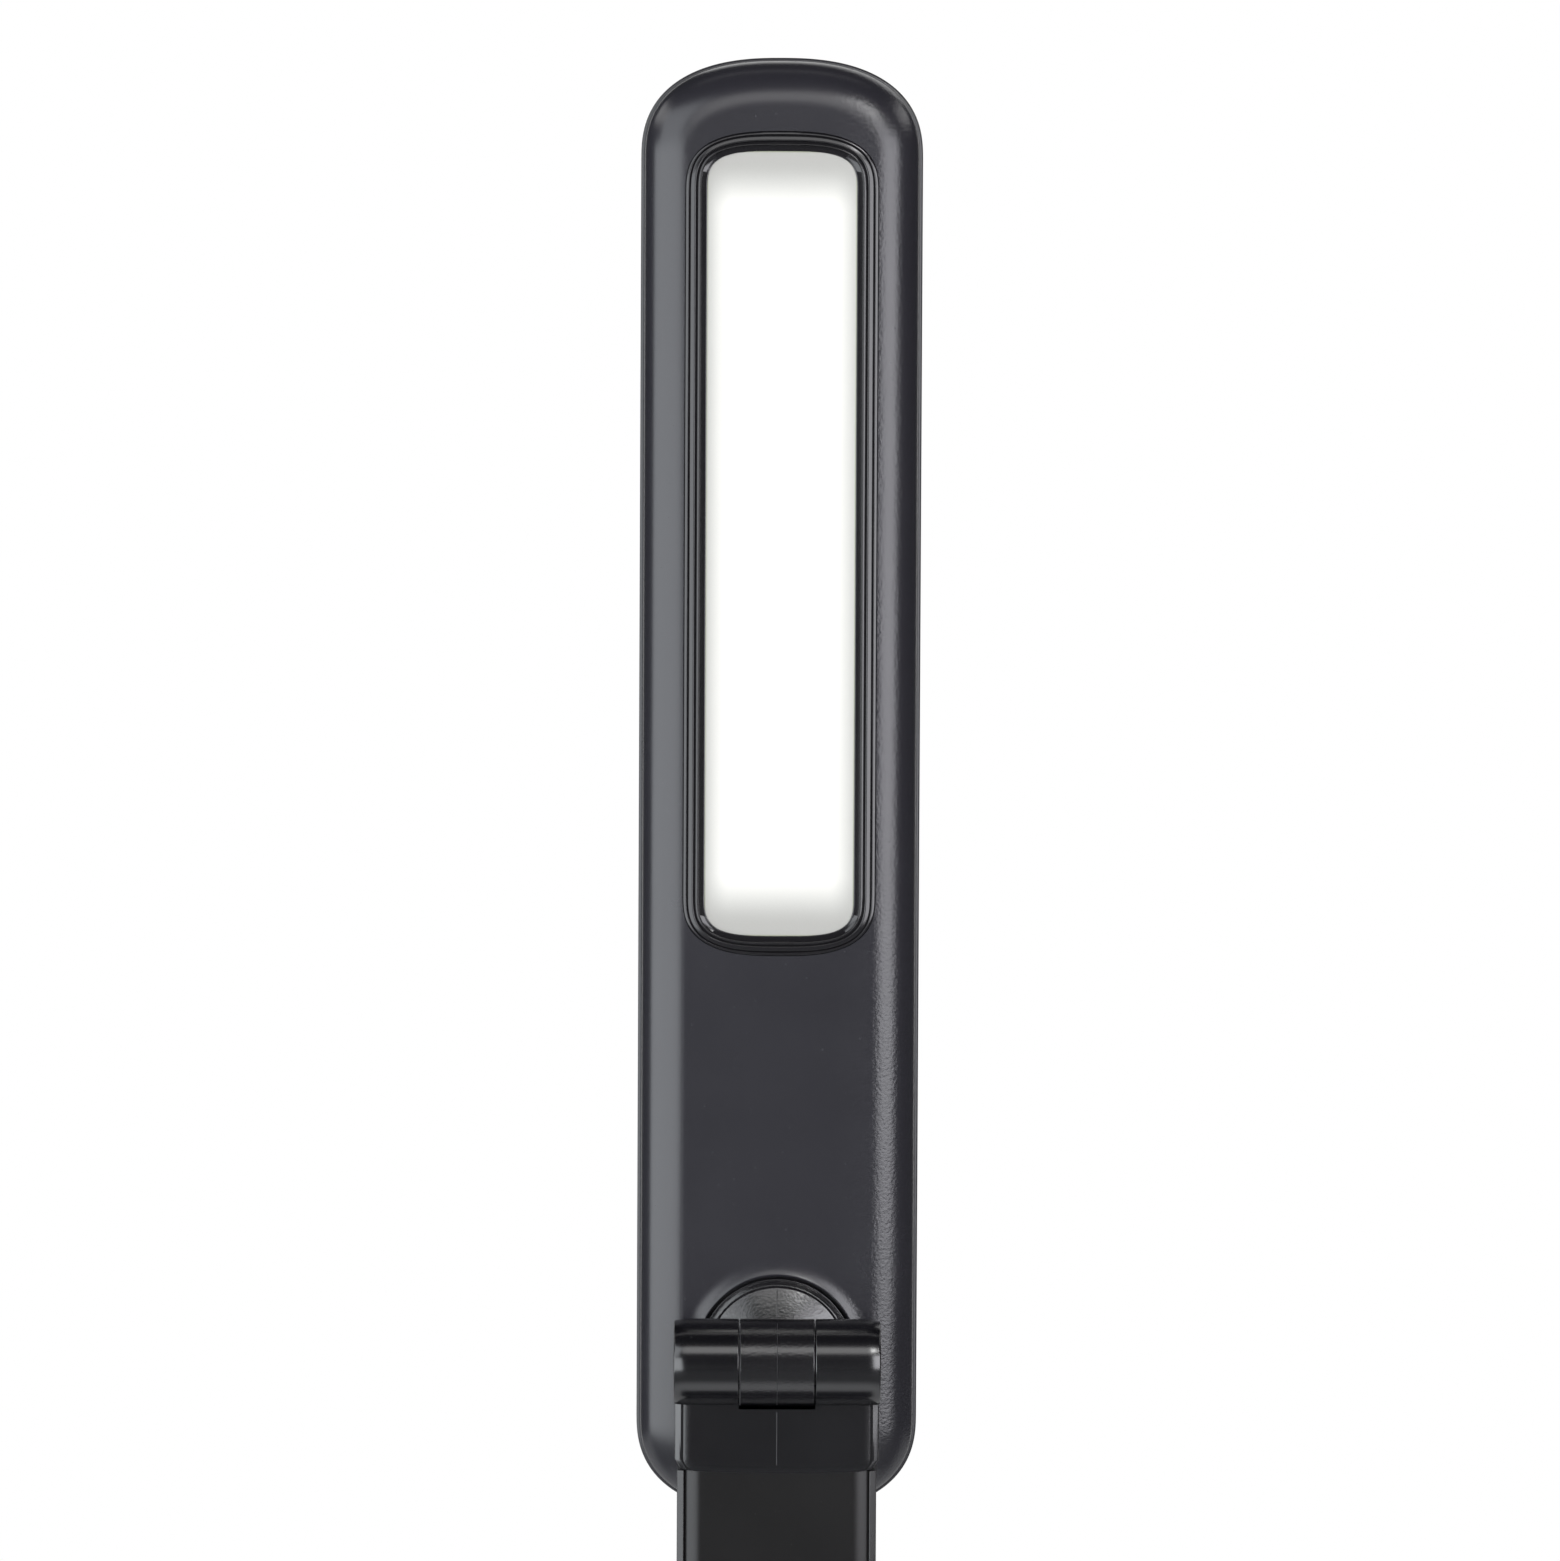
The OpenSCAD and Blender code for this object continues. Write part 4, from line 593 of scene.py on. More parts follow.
def lit_panel(name):
    """The frosted diffuser: bright in its middle, its glow fading towards every edge."""
    finish = Finish(name, FROSTED, 0.45)
    middle = (UPPER.z + WINDOW_MID) * MM
    half_w, half_l = WINDOW_W / 2 * MM, WINDOW_L / 2 * MM
    up = finish.math("SUBTRACT", finish.along("Z"), middle)
    to_side = finish.math("SUBTRACT", half_w, finish.math("ABSOLUTE", finish.along("X")))
    to_top = finish.math("SUBTRACT", half_l, up)
    to_bottom = finish.math("ADD", half_l, up)
    ends = finish.math("MULTIPLY", finish.ramp(to_top, *GLOW_TOP), finish.ramp(to_bottom, *GLOW_BOTTOM))
    glow = finish.math("MULTIPLY", finish.ramp(to_side, *GLOW_SIDE), ends)
    finish.feed("Emission Strength", finish.math("MULTIPLY_ADD", glow, GLOW, GLOW_REST))
    finish.feed("Emission Color", finish.blend(glow, GLOW_COOL, GLOW_WARM))
    frost = finish.noise(2500.0, 2.0)
    nearest = finish.math("MINIMUM", to_side, finish.math("MINIMUM", to_top, to_bottom))
    rim = finish.ramp(nearest, 0.0, EDGE_LINE)
    finish.feed("Base Color", finish.blend(rim, FROSTED_EDGE, finish.tinted(0.04, frost)))
    finish.bump(frost, 0.000008)
    return finish.material


def chip_finish(name):
    """Light chips: yellow phosphor in a pale case."""
    finish = Finish(name, (0.9, 0.62, 0.16), 0.35)
    finish.feed("Base Color", finish.tinted(0.12, finish.noise(900.0)))
    finish.bump(finish.noise(2200.0), 0.00002)
    return finish.material


CHARCOAL = (0.0232, 0.0226, 0.0283)
PLASTIC_IOR = 1.73
GLOSSY_IOR = 1.98

FINISHES = {
    "head_shell": moulded("head_shell", CHARCOAL, 0.26, peel=0.000070),
    "back_shell": moulded("back_shell", (0.0256, 0.0244, 0.0293), 0.36, grain=0.000014),
    "bezel": moulded("bezel", (0.0110, 0.0104, 0.0122), 0.15, grain=0.000002),
    "diffuser": lit_panel("diffuser"),
    "white_plastic": moulded("white_plastic", (0.85, 0.85, 0.83), 0.35, cloud=0.03, flecks=0.0),
    "circuit_board": board("circuit_board", (0.012, 0.10, 0.045), (0.05, 0.20, 0.08)),
    "light_board": board("light_board", (0.80, 0.80, 0.78), (0.62, 0.62, 0.60)),
    "light_chip": chip_finish("light_chip"),
    "zinc_screw": metal("zinc_screw", (0.62, 0.62, 0.64), 0.35),
    "black_screw": metal("black_screw", (0.10, 0.10, 0.11), 0.42),
    "spring_steel": metal("spring_steel", (0.48, 0.48, 0.50), 0.30),
    "nylon": moulded("nylon", (0.80, 0.79, 0.74), 0.5, cloud=0.05, flecks=0.0),
    "knuckle": moulded("knuckle", (0.0059, 0.0055, 0.0071), 0.21, grain=0.000045, grain_scale=1700.0,
                       IOR=GLOSSY_IOR),
    "collar": moulded("collar", (0.0038, 0.0037, 0.0052), 0.20, grain=0.000003, IOR=GLOSSY_IOR),
    "arm_shell": moulded("arm_shell", (0.0098, 0.0090, 0.0095), 0.27, grain=0.000004),
    "arm_panel": moulded("arm_panel", (0.0051, 0.0044, 0.0046), 0.30, grain=0.000003, cloud=0.2, IOR=1.64),
    "stiffener": metal("stiffener", (0.50, 0.51, 0.53), 0.38, 500.0, (1, 1, 0.04)),
    "wire_black": wire_finish("wire_black", (0.012, 0.012, 0.012)),
    "wire_red": wire_finish("wire_red", (0.35, 0.02, 0.015)),
    "base_shell": moulded("base_shell", CHARCOAL, 0.34, grain=0.000012),
    "base_plate": moulded("base_plate", (0.0220, 0.0220, 0.0232), 0.55, grain=0.00002),
    "ballast": metal("ballast", (0.30, 0.29, 0.28), 0.5, 300.0),
    "foot": rubber("foot", (0.02, 0.02, 0.02)),
    "touch_glass": moulded("touch_glass", (0.0073, 0.0073, 0.0085), 0.34, grain=0.0000005, flecks=0.1),
    "component": moulded("component", (0.02, 0.02, 0.022), 0.4, grain=0.00001),
    "brass": metal("brass", (0.70, 0.50, 0.20), 0.32),
    "jack": moulded("jack", (0.010, 0.010, 0.010), 0.4),
}
PRINT = moulded("touch_print", (0.55, 0.56, 0.58), 0.5, grain=0.000004, cloud=0.06, flecks=0.0)
PIN = metal("socket_pin", (0.75, 0.75, 0.76), 0.2)
FLASH = moulded("flash", (0.040, 0.040, 0.043), 0.42, grain=0.00002)

for node in frame["nodes"].values():
    for row in node.material_slots:
        row.material = FINISHES[row.material.name]

# ------------------------------------------------------------------ head


def head_front_shell():
    """The front housing: a rolled shoulder, the bezel's seat and the swivel's pocket."""
    guard = [head_ring(RIM_LIP + SHOULDER_W + FACE_GUARD, FACE)]
    outside = loft(rolled(head_ring, RIM_LIP + RIM_GAP, SHOULDER_W, PART, FACE, RIM_H) + guard)
    inside = loft(rolled(head_ring, RIM_LIP + WALL, SHOULDER_W, PART - CUT, FACE - WALL, RIM_H + CUT, 12))
    shell = cut(outside, inside)
    pocket_floor = DISC - DISC_T - POCKET_GAP
    join(shell, prism(band_outline(1, WALL), SEAT - WALL, FACE - WALL / 2),
         shifted(rod(POCKET_R + WALL, pocket_floor - POCKET_WALL, FACE - WALL / 2), y=-DISC_DROP))

    # the lip swells towards the pocket and ends in an eased crest
    crest, foot = FACE + LIP_RISE, FACE - LIP_H_BELOW
    swell = [(POCKET_R + LIP_W * (1 - k / LIP_STEPS), FACE + LIP_RISE * (k / LIP_STEPS) ** 2)
             for k in range(LIP_STEPS)]
    lip = turned([(POCKET_R - CUT, foot), (POCKET_R + LIP_W, foot), *swell, (POCKET_R + LIP_CREST, crest),
                  (POCKET_R, crest - LIP_EASE), (POCKET_R - CUT, crest - LIP_EASE)],
                 DISC_STEPS, closed=True)
    join(shell, shifted(lip, y=-DISC_DROP))

    waste = [(0, pocket_floor), (POCKET_R, pocket_floor), (POCKET_R, FACE + CUT), (0, FACE + CUT)]
    cut(shell, prism(band_outline(1), SEAT, FACE + CUT),
        prism(band_outline(0, -WINDOW_RELIEF), SEAT - WALL - CUT, SEAT + CUT),
        shifted(turned(waste, DISC_STEPS), y=-DISC_DROP),
        shifted(rod(HUB_R + HUB_GAP, PART, pocket_floor + CUT), y=-DISC_DROP))
    place(shell, "head_front_shell", HEAD_FRAME, "head", "head_shell", FINISHES["head_shell"],
          ["head_front_housing"])


def head_back_shell():
    """The back cover: a rolled edge at the back and a rounded lip beside the parting line."""
    top, lip_w, steps = PART - RIM_H, RIM_LIP - RIM_GAP, 20
    rings = []
    for k in range(steps + 1):
        a = math.pi / 2 * (1 - k / steps)
        rings.append(head_ring(BACK_ROLL * (1 - math.cos(a)), top - (top - BACK) * math.sin(a)))
    for k in range(11):
        a = math.pi / 2 * k / 10
        rings.append(head_ring(lip_w * (1 - math.cos(a)), PART - LIP_H + LIP_H * math.sin(a)))
    rings.append(head_ring(lip_w, PART - RIM_GROOVE))
    inner = RIM_LIP + WALL
    rings.append(head_ring(inner, PART - RIM_GROOVE))
    for k in range(9):
        a = math.pi / 2 * k / 8
        inset, drop = inner + BACK_ROLL * (1 - math.cos(a)), (top - BACK - WALL) * math.sin(a)
        rings.append(head_ring(inset, top - drop))
    place(loft(rings), "head_back_shell", HEAD_FRAME, "head", "back_shell", FINISHES["back_shell"],
          ["head_back_cover"])


def bezel():
    """The bezel: two ridges that slope outwards, a fine inner line, and a ledge round the diffuser.

    The profile runs inwards across the bezel's band; heights are measured forward from the face.
    """
    lip = LENS + BEZEL_LAP
    ledge = BEZEL_SLOPE / BEZEL_SIDE
    outer = [(0.985, -0.45), (0.965, -0.42), (0.955, -0.02), (0.94, 0.02), (0.86, 0.095), (0.845, 0.10),
             (0.83, 0.07), (0.80, -0.2), (0.775, -0.35)]
    inner = [(0.76, -0.35), (0.745, -0.02), (0.73, 0.03), (0.71, 0.05), (0.585, 0.17), (0.56, 0.185),
             (0.535, 0.17), (0.515, 0.10), (0.485, -0.25), (0.46, -0.4)]
    line = [(0.425, -0.4), (0.41, -0.16), (0.40, -0.12), (0.355, -0.05), (0.34, -0.04), (0.325, -0.08),
            (0.305, -0.3)]
    profile = [(1, SEAT), (1, FACE - 0.45)]
    profile += [(share, FACE + rise) for share, rise in outer + inner + line]
    profile += [(ledge, lip + 0.35), (ledge - 0.02, lip + 0.24), (0.05, lip + 0.2), (0.01, lip + 0.16),
                (0, lip + 0.1), (0, lip)]
    rings = [level(band_outline(share, -0.1 if share == 1 else 0.0), z) for share, z in profile]
    rings += [level(band_outline(0, TUCK + BEZEL_LAP), z) for z in (lip, SEAT)]
    place(loft(rings, closed=True), "bezel_ring", HEAD_FRAME, "head", "bezel", FINISHES["bezel"],
          ["bezel_frame"], 50)


def diffuser():
    """The frosted lit panel, with its front edge rounded under the bezel."""

    def ring(tuck, z):
        """The panel's outline, grown past the window by tuck."""
        return level(outline(WINDOW_W + 2 * tuck, WINDOW_L + 2 * min(tuck, TUCK_END), WINDOW_CAP + tuck,
                             WINDOW_POWER, mid=WINDOW_MID), z)

    rings = [ring(TUCK, SEAT), ring(TUCK, LENS - LENS_EDGE), ring(TUCK - LENS_EDGE, LENS),
             ring(TUCK - 3 * LENS_EDGE, LENS)]
    place(loft(rings), "lit_diffuser", HEAD_FRAME, "head", "diffuser", FINISHES["diffuser"],
          ["diffuser_panel"])


# ------------------------------------------------------------------ swivel and hinges


def knuckle_barrel():
    """The middle knuckle along X: eased ends and a fine moulding seam round its middle."""
    ease, half = KNUCKLE_EASE, KNUCKLE_HALF
    outer = [(BARREL_R - ease + x, half - ease + y) for x, y in arc((0, 0), ease, 90, 0, 3)]
    far = [(r, -h) for r, h in reversed(outer)]
    return turned([(BOLT_R, half), *outer, *far, (BOLT_R, -half)], BARREL_STEPS, "x", closed=True)


def bolt_bore(half):
    """A bar that cuts the hinge bolt's bore through pieces as wide as half either side."""
    return rod(BOLT_R, -half - CUT, half + CUT, "x", 48)


def knuckle_burrs(name, to_lamp, body, start, end):
    """The middle knuckle's moulding seam and the rough flash at its left end, round part of the barrel."""
    low = BARREL_R - 0.1
    for kind, x, wide, rough in (("seam", 0.0, 0.10, 0.35), ("flash", -KNUCKLE_HALF + 0.12, 0.13, 0.9)):
        rings = []
        for k in range(BURR_STEPS + 1):
            a = math.radians(start + (end - start) * (k / BURR_STEPS))
            ragged = 1 + rough * (math.sin(37 * a + 1) * math.sin(91 * a) + 0.4 * math.sin(163 * a + 2))
            half, crest = max(0.02, wide * ragged), BARREL_R + SEAM_H * max(0.3, ragged)
            rings.append([(x + w, -radius * math.cos(a), radius * math.sin(a))
                          for w, radius in ((-half, low), (0, crest), (half, low))])
        place(loft(rings), "%s_%s" % (name, kind), to_lamp, body, "knuckle", FLASH)


def neck(low, high=-BOLT_R - NECK_START):
    """The block between a middle knuckle and what it carries, from low up to the bore's wall."""
    half = KNUCKLE_HALF - NECK_INSET
    return eased(block((-half, -NECK_H / 2, low), (half, NECK_H / 2, high)), NECK_EASE, 3)


def swivel():
    """The swivel knuckle: a dished disc with a raised ring, its hub, neck and barrel."""
    edge = DISC_R
    flank, crest, foot, top = edge - 0.6, edge - 1.4, edge - 1.95, edge - 8.3
    back = DISC - DISC_T
    height = DISC - 0.1 + math.tan(DISC_DISH) * (foot - top)
    profile = [(0, back), (edge - 0.3, back), (edge, back + 0.3)]
    profile += [(edge - 0.25 + x, DISC - 0.8 + y) for x, y in arc((0, 0), 0.25, 0, 100, 6)]
    profile += [(flank + 0.15, DISC - 0.6), (flank, DISC - 0.52), (crest + 0.15, DISC - 0.05),
                (crest, DISC - 0.01), (crest - 0.2, DISC), (foot + 0.25, DISC - 0.1),
                (foot + 0.1, DISC - 0.14), (foot - 0.05, DISC - 0.1), (top, height), (0, height)]
    disc = turned(profile, DISC_STEPS)
    ridge = ((-SEAM_W, -SEAM_H), (0, SEAM_H), (SEAM_W, -SEAM_H))
    join(disc, loft([[(x, radius, z + rise) for x, rise in ridge]
                     for radius, z in ((top, height), (foot - 0.1, DISC - 0.1))]))
    cut(disc, rod(SHAFT_R, -30, -5))
    join(disc, turned([(SHAFT_R, back + 0.2), (HUB_R, back + 0.2), (HUB_R, HUB_LOW), (SHAFT_R, HUB_LOW)],
                      96, closed=True))
    shifted(disc, y=-DISC_DROP)
    cut(disc, rod(BARREL_R + 0.2, -BARREL_HALF - CUT, BARREL_HALF + CUT, "x"))
    barrel = knuckle_barrel()
    join(barrel, neck(DISC - 0.8), disc)
    cut(barrel, bolt_bore(KNUCKLE_HALF))
    place(barrel, "swivel_joint", HEAD_FRAME, "knuckle", "knuckle", FINISHES["knuckle"], ["swivel_knuckle"])
    knuckle_burrs("swivel", UPPER_FRAME, "knuckle", -68, 68)


def outer_barrels():
    """The two outer knuckles, each with a rounded outer end, an eased inner end and its bores."""
    start, end = KNUCKLE_HALF + KNUCKLE_GAP, BARREL_HALF
    edge, ease, lead = BARREL_EDGE, BORE_EASE, 0.12
    profile = [(BOLT_R, start)]
    profile += [(BARREL_R - ease + x, start + ease + y) for x, y in arc((0, 0), ease, -90, 0, 3)]
    profile += [(BARREL_R - CROWN_H * (k / 8) ** 2, end - edge - CROWN_L * (1 - k / 8)) for k in range(9)]
    profile += [(BARREL_R - CROWN_H - edge + x, end - edge + y) for x, y in arc((0, 0), edge, 20, 90, 6)]
    profile += [(CAP_R + lead, end), (CAP_R, end - lead), (CAP_R, end - CAP_DEPTH),
                (BOLT_R, end - CAP_DEPTH)]
    right = turned(profile, BARREL_STEPS, "x", closed=True)
    left = turned([(r, -h) for r, h in profile], BARREL_STEPS, "x", closed=True)
    return right, left


def bevelled(half, front, back):
    """The outline of a bar with bevelled long edges, across X and Y."""
    b, d = ARM_BEVEL, ARM_BEVEL_DEPTH
    return [(-half + b, front), (half - b, front), (half, front + d), (half, back - d),
            (half - b, back), (-half + b, back), (-half, back - d), (-half, front + d)]


def collar(side, to_lamp):
    """An arm's end piece: two outer knuckles on a bevelled block, with a softly crowned face."""
    front, back = ARM_FRONT - COLLAR_PROUD, ARM_BACK + COLLAR_PROUD
    sunk = PLATE_CROWN + PLATE_SINK
    start = KNUCKLE_HALF + KNUCKLE_GAP

    def section(half, z):
        """The block's outline at one height."""
        return level(bevelled(half, front + sunk, back), z)

    def relief():
        """The room in which the middle knuckle turns."""
        return rod(BARREL_R + RELIEF, -start, start, "x", BARREL_STEPS)

    body = loft([section(COLLAR_HALF - COLLAR_CORNER_W, -COLLAR_REACH),
                 section(COLLAR_HALF, -COLLAR_REACH + COLLAR_CORNER), section(COLLAR_HALF, -1.0)])
    eased(body, 0.18, 2)
    tongue = block((-COLLAR_TONGUE_HALF, ARM_FRONT + PANEL_T + 0.2, -COLLAR_REACH - COLLAR_TONGUE_L),
                   (COLLAR_TONGUE_HALF, ARM_BACK - 4, -COLLAR_REACH + CUT))
    join(body, *outer_barrels(), tongue)
    cut(body, relief(), bolt_bore(BARREL_HALF))
    for way in (-1, 1):
        low, high = sorted((way * (BARREL_HALF - CAP_DEPTH), way * (BARREL_HALF + CUT)))
        cut(body, rod(CAP_R, low, high, "x"))
    place(body, side + "_collar_body", to_lamp, "arm", "collar", FINISHES["collar"], [side + "_collar"])

    def face_ring(inset, depth):
        """The face's outline: straight at its top, its two lower corners round, its lower edge bowed."""
        half, low, corner = FACE_PLATE_HALF - inset, -COLLAR_REACH + inset, PLATE_CORNER - inset * 0.6
        points = [(half, PLATE_TOP), (-half, PLATE_TOP)]
        points += arc((-half + corner, low + corner), corner, 180, 270, 8)
        points += [(-half + corner + (2 * half - 2 * corner) * k / 16, low) for k in range(1, 16)]
        points += arc((half - corner, low + corner), corner, 270, 360, 8)
        return [(x, front + depth, z - (bow_at(x) if z < PLATE_TOP - 0.5 else 0.0)) for x, z in points]

    rings = [face_ring(0.0, sunk + 0.5)]
    rings += [face_ring(PLATE_ROLL * k / 12, PLATE_CROWN * (1 - k / 12) ** 2) for k in range(13)]
    plate = loft(rings)
    cut(plate, relief(), rod(BARREL_R - 0.2, -BARREL_HALF, BARREL_HALF, "x", BARREL_STEPS))
    eased(plate, 0.12, 2, 50)
    place(plate, side + "_collar_face", to_lamp, "arm", "collar", FINISHES["collar"])

    ridge = ((-SEAM_W, SEAM_H), (0, -SEAM_H), (SEAM_W, SEAM_H))
    seam = loft([[(x, front + 0.02 + y, z) for x, y in ridge]
                 for z in (-COLLAR_REACH + 1.2, -BARREL_R - RELIEF - 0.1)])
    place(seam, side + "_collar_seam", to_lamp, "arm", "collar", FLASH)


def bow_at(x):
    """How far the collar's lower edge, and the panel's end beside it, bow out at a place across."""
    return COLLAR_BOW * (1 - (x / FACE_PLATE_HALF) ** 2)


# ------------------------------------------------------------------ arm


def arm():
    """The arm's channel, with rounded corners and counterbores for its screws, and its front panel."""
    low, high = span("arm_channel", 2)
    front, back = HINGE_Y + ARM_FRONT, HINGE_Y + ARM_BACK
    wall = ARM_HALF - ARM_SIDE
    channel = prism(bevelled(ARM_HALF, front, back), low, high)
    cut(channel, block((-wall, front - CUT, low - CUT), (wall, back - ARM_BACK_WALL, high + CUT)))
    eased(channel, 0.22, 3)
    for node in ("arm_panel_screws", "collar_screws"):
        for x, z in screw_places(node):
            way = rod(ARM_SCREW_R, -CUT, ARM_SCREW_SINK, steps=48)
            way.data.transform(Matrix.Translation((x, back, z)) @ Matrix.Rotation(math.pi / 2, 4, "X"))
            cut(channel, way)
    place(channel, "arm_body", LAMP_FRAME, "arm", "arm_shell", FINISHES["arm_shell"], ["arm_channel"])

    def panel_ring(inset, y, count=24):
        """The panel's outline, its ends bowed beside the collars' faces."""
        across = [(PANEL_HALF - inset) * (2 * k / count - 1) for k in range(count + 1)]
        top = [(x, y, high - PANEL_GAP - bow_at(x)) for x in across]
        bottom = [(-x, y, low + PANEL_GAP + bow_at(x)) for x in across]
        return top + bottom

    steps = 10
    rings = [panel_ring(0.0, front + PANEL_T), panel_ring(0.0, front + EDGE_ROLL_H)]
    rings += [panel_ring(EDGE_ROLL_W * k / steps, front + EDGE_ROLL_H * (1 - k / steps) ** 2)
              for k in range(1, steps + 1)]
    place(loft(rings), "arm_panel", LAMP_FRAME, "arm", "arm_panel", FINISHES["arm_panel"],
          ["arm_front_panel"])


def screw_places(node):
    """Middles of a CAD node's screws, found from the groups of its vertices."""
    spots = []
    for vertex in frame["nodes"][node].data.vertices:
        x, z = vertex.co.x / MM, vertex.co.z / MM
        group = next((g for g in spots if max(abs(g[0][0] - x), abs(g[0][1] - z)) < 5), None)
        if group is None:
            spots.append([(x, z)])
        else:
            group.append((x, z))
    middles = []
    for group in spots:
        xs, zs = [p[0] for p in group], [p[1] for p in group]
        middles.append(((min(xs) + max(xs)) / 2, (min(zs) + max(zs)) / 2))
    return middles


# ------------------------------------------------------------------ base


def base_cover():
    """The base's top cover: a rolled edge, a recess for the touch panel and the tower's opening."""
    outside = loft(rolled(base_ring, 0.0, BASE_EDGE, BASE_LOW, BASE_TOP)
                   + [base_ring(BASE_EDGE + 0.5, BASE_TOP)])
    inside = loft(rolled(base_ring, BASE_WALL, BASE_EDGE, BASE_LOW - CUT, BASE_TOP - BASE_WALL,
                         BASE_TOP - BASE_LOW - BASE_EDGE, 10))
    cover = cut(outside, inside)
    opening = prism(tower_outline(-BASE_GAP / 2, HINGE_Y), BASE_TOP - 4, BASE_TOP + CUT)
    recess = prism(capsule(-BASE_GAP / 2), TOUCH_LOW, TOUCH_TOP + CUT)
    cut(cover, opening, recess, at_socket(rod(NOSE_R + 0.1, 40, 120)))
    eased(cover, 0.2, 2, 50)
    place(cover, "base_cover", LAMP_FRAME, "base", "base_shell", FINISHES["base_shell"], ["base_top_cover"])


def tower_outline(inset, mid=0.0):
    """The hinge tower's outline, moved in by inset."""
    return outline(TOWER_W - 2 * inset, TOWER_D - 2 * inset, TOWER_CAP - inset, BASE_POWER, 48, mid)


def at_socket(piece):
    """Turns a piece made along Z to lie along Y, on the power socket's axis."""
    turn = Matrix.Rotation(-math.pi / 2, 4, "X")
    piece.data.transform(Matrix.Translation((0, 0, JACK_Z)) @ turn)
    return piece


def capsule(inset, steps=40):
    """The touch panel's outline, moved in by inset."""
    half, r = TOUCH_W / 2 - inset, TOUCH_D / 2 - inset
    points = arc((half - r, TOUCH_Y), r, -90, 90, steps)
    return points + arc((r - half, TOUCH_Y), r, 90, 270, steps)


def touch_glass():
    """The touch panel: black glass with a polished edge and four printed signs."""

    def glass_ring(inset, z):
        """The panel's outline, moved in by inset, at one height."""
        return level(capsule(inset), z)

    rings = rolled(glass_ring, 0.0, TOUCH_EDGE, TOUCH_LOW, TOUCH_TOP, steps=5)
    place(loft(rings), "touch_glass", LAMP_FRAME, "base", "touch_glass", FINISHES["touch_glass"],
          ["touch_panel"])

    def printed(points, name, move=Matrix.Identity(4)):
        """A printed sign: a thin slab of ink through the glass's face."""
        sign = prism(points, TOUCH_TOP - SIGN_INK, TOUCH_TOP + SIGN_INK)
        sign.data.transform(move)
        place(sign, name, LAMP_FRAME, "base", "touch_glass", PRINT)

    def bar(start, end, x, name):
        """A straight line of a sign that stands at x, between two points of it."""
        along = Vector(end) - Vector(start)
        middle = (Vector(end) + Vector(start)) / 2
        printed(outline(SIGN_LINE, along.length + SIGN_LINE, SIGN_LINE / 2, 2.0, 8), name,
                Matrix.Translation((x + middle.x, TOUCH_Y + middle.y, 0))
                @ Matrix.Rotation(math.atan2(along.y, along.x) - math.pi / 2, 4, "Z"))

    def ring(radius, start, end, x, name):
        """A round line of a sign that stands at x, from start to end in degrees."""
        outer = arc((x, TOUCH_Y), radius + SIGN_LINE / 2, start, end, 40)
        inner = arc((x, TOUCH_Y), radius - SIGN_LINE / 2, end, start, 40)
        printed(outer + inner, name)

    power, less, more, tone = [TOUCH_PITCH * k for k in (-1.5, -0.5, 0.5, 1.5)]
    ring(2.2, 125, 415, power, "sign_power_ring")
    bar((0, 0.6), (0, 2.7), power, "sign_power_bar")
    bar((-2.0, 0), (2.0, 0), less, "sign_less")
    bar((-2.0, 0), (2.0, 0), more, "sign_more_across")
    bar((0, -2.0), (0, 2.0), more, "sign_more_up")
    ring(1.1, 0, 359.9, tone, "sign_sun")
    for k in range(8):
        way = Vector((math.cos(math.pi / 4 * k), math.sin(math.pi / 4 * k)))
        bar(1.9 * way, 2.6 * way, tone, "sign_ray_%d" % k)


def tower():
    """The hinge tower: a rounded column with an eased top, its neck and the lower middle knuckle."""
    low, top = BASE_TOP - LOWER.z - TOWER_SINK, -BARREL_R - RELIEF

    def column_ring(inset, z):
        """The column's outline, moved in by inset, at one height."""
        return level(tower_outline(inset), z)

    column = loft(rolled(column_ring, 0.0, TOWER_EASE, low, top, steps=6))
    foot = shifted(block(*FLANGE), z=-LOWER.z)
    join(column, foot, neck(top - CUT), knuckle_barrel())
    cut(column, bolt_bore(KNUCKLE_HALF))
    place(column, "hinge_column", UPPER_FRAME @ Matrix.Translation(LOWER - UPPER), "base", "knuckle",
          FINISHES["knuckle"], ["hinge_tower"])


def power_socket():
    """The power socket: a round nose with a bore and a plated pin."""
    start, end = span("dc_jack", 1)
    body = block((-JACK_HALF, start, BASE_LOW + 3), (JACK_HALF, end - 2.6, BASE_LOW + 13.5))
    eased(body, 0.3, 2)
    nose = turned([(0, end - 4), (NOSE_R, end - 4), (NOSE_R, end - 0.3), (NOSE_R - 0.3, end), (0, end)])
    join(body, at_socket(nose))
    cut(body, at_socket(rod(BORE_R, start + 2.5, end + CUT)))
    place(body, "power_socket_body", LAMP_FRAME, "base", "jack", FINISHES["jack"], ["dc_jack"])
    tip = end - 3.8
    pin = turned([(0, start + 2), (PIN_R, start + 2), (PIN_R, tip - 0.5), (0.6, tip), (0, tip)], 48)
    place(at_socket(pin), "power_socket_pin", LAMP_FRAME, "base", "jack", PIN)


# ------------------------------------------------------------------ studio


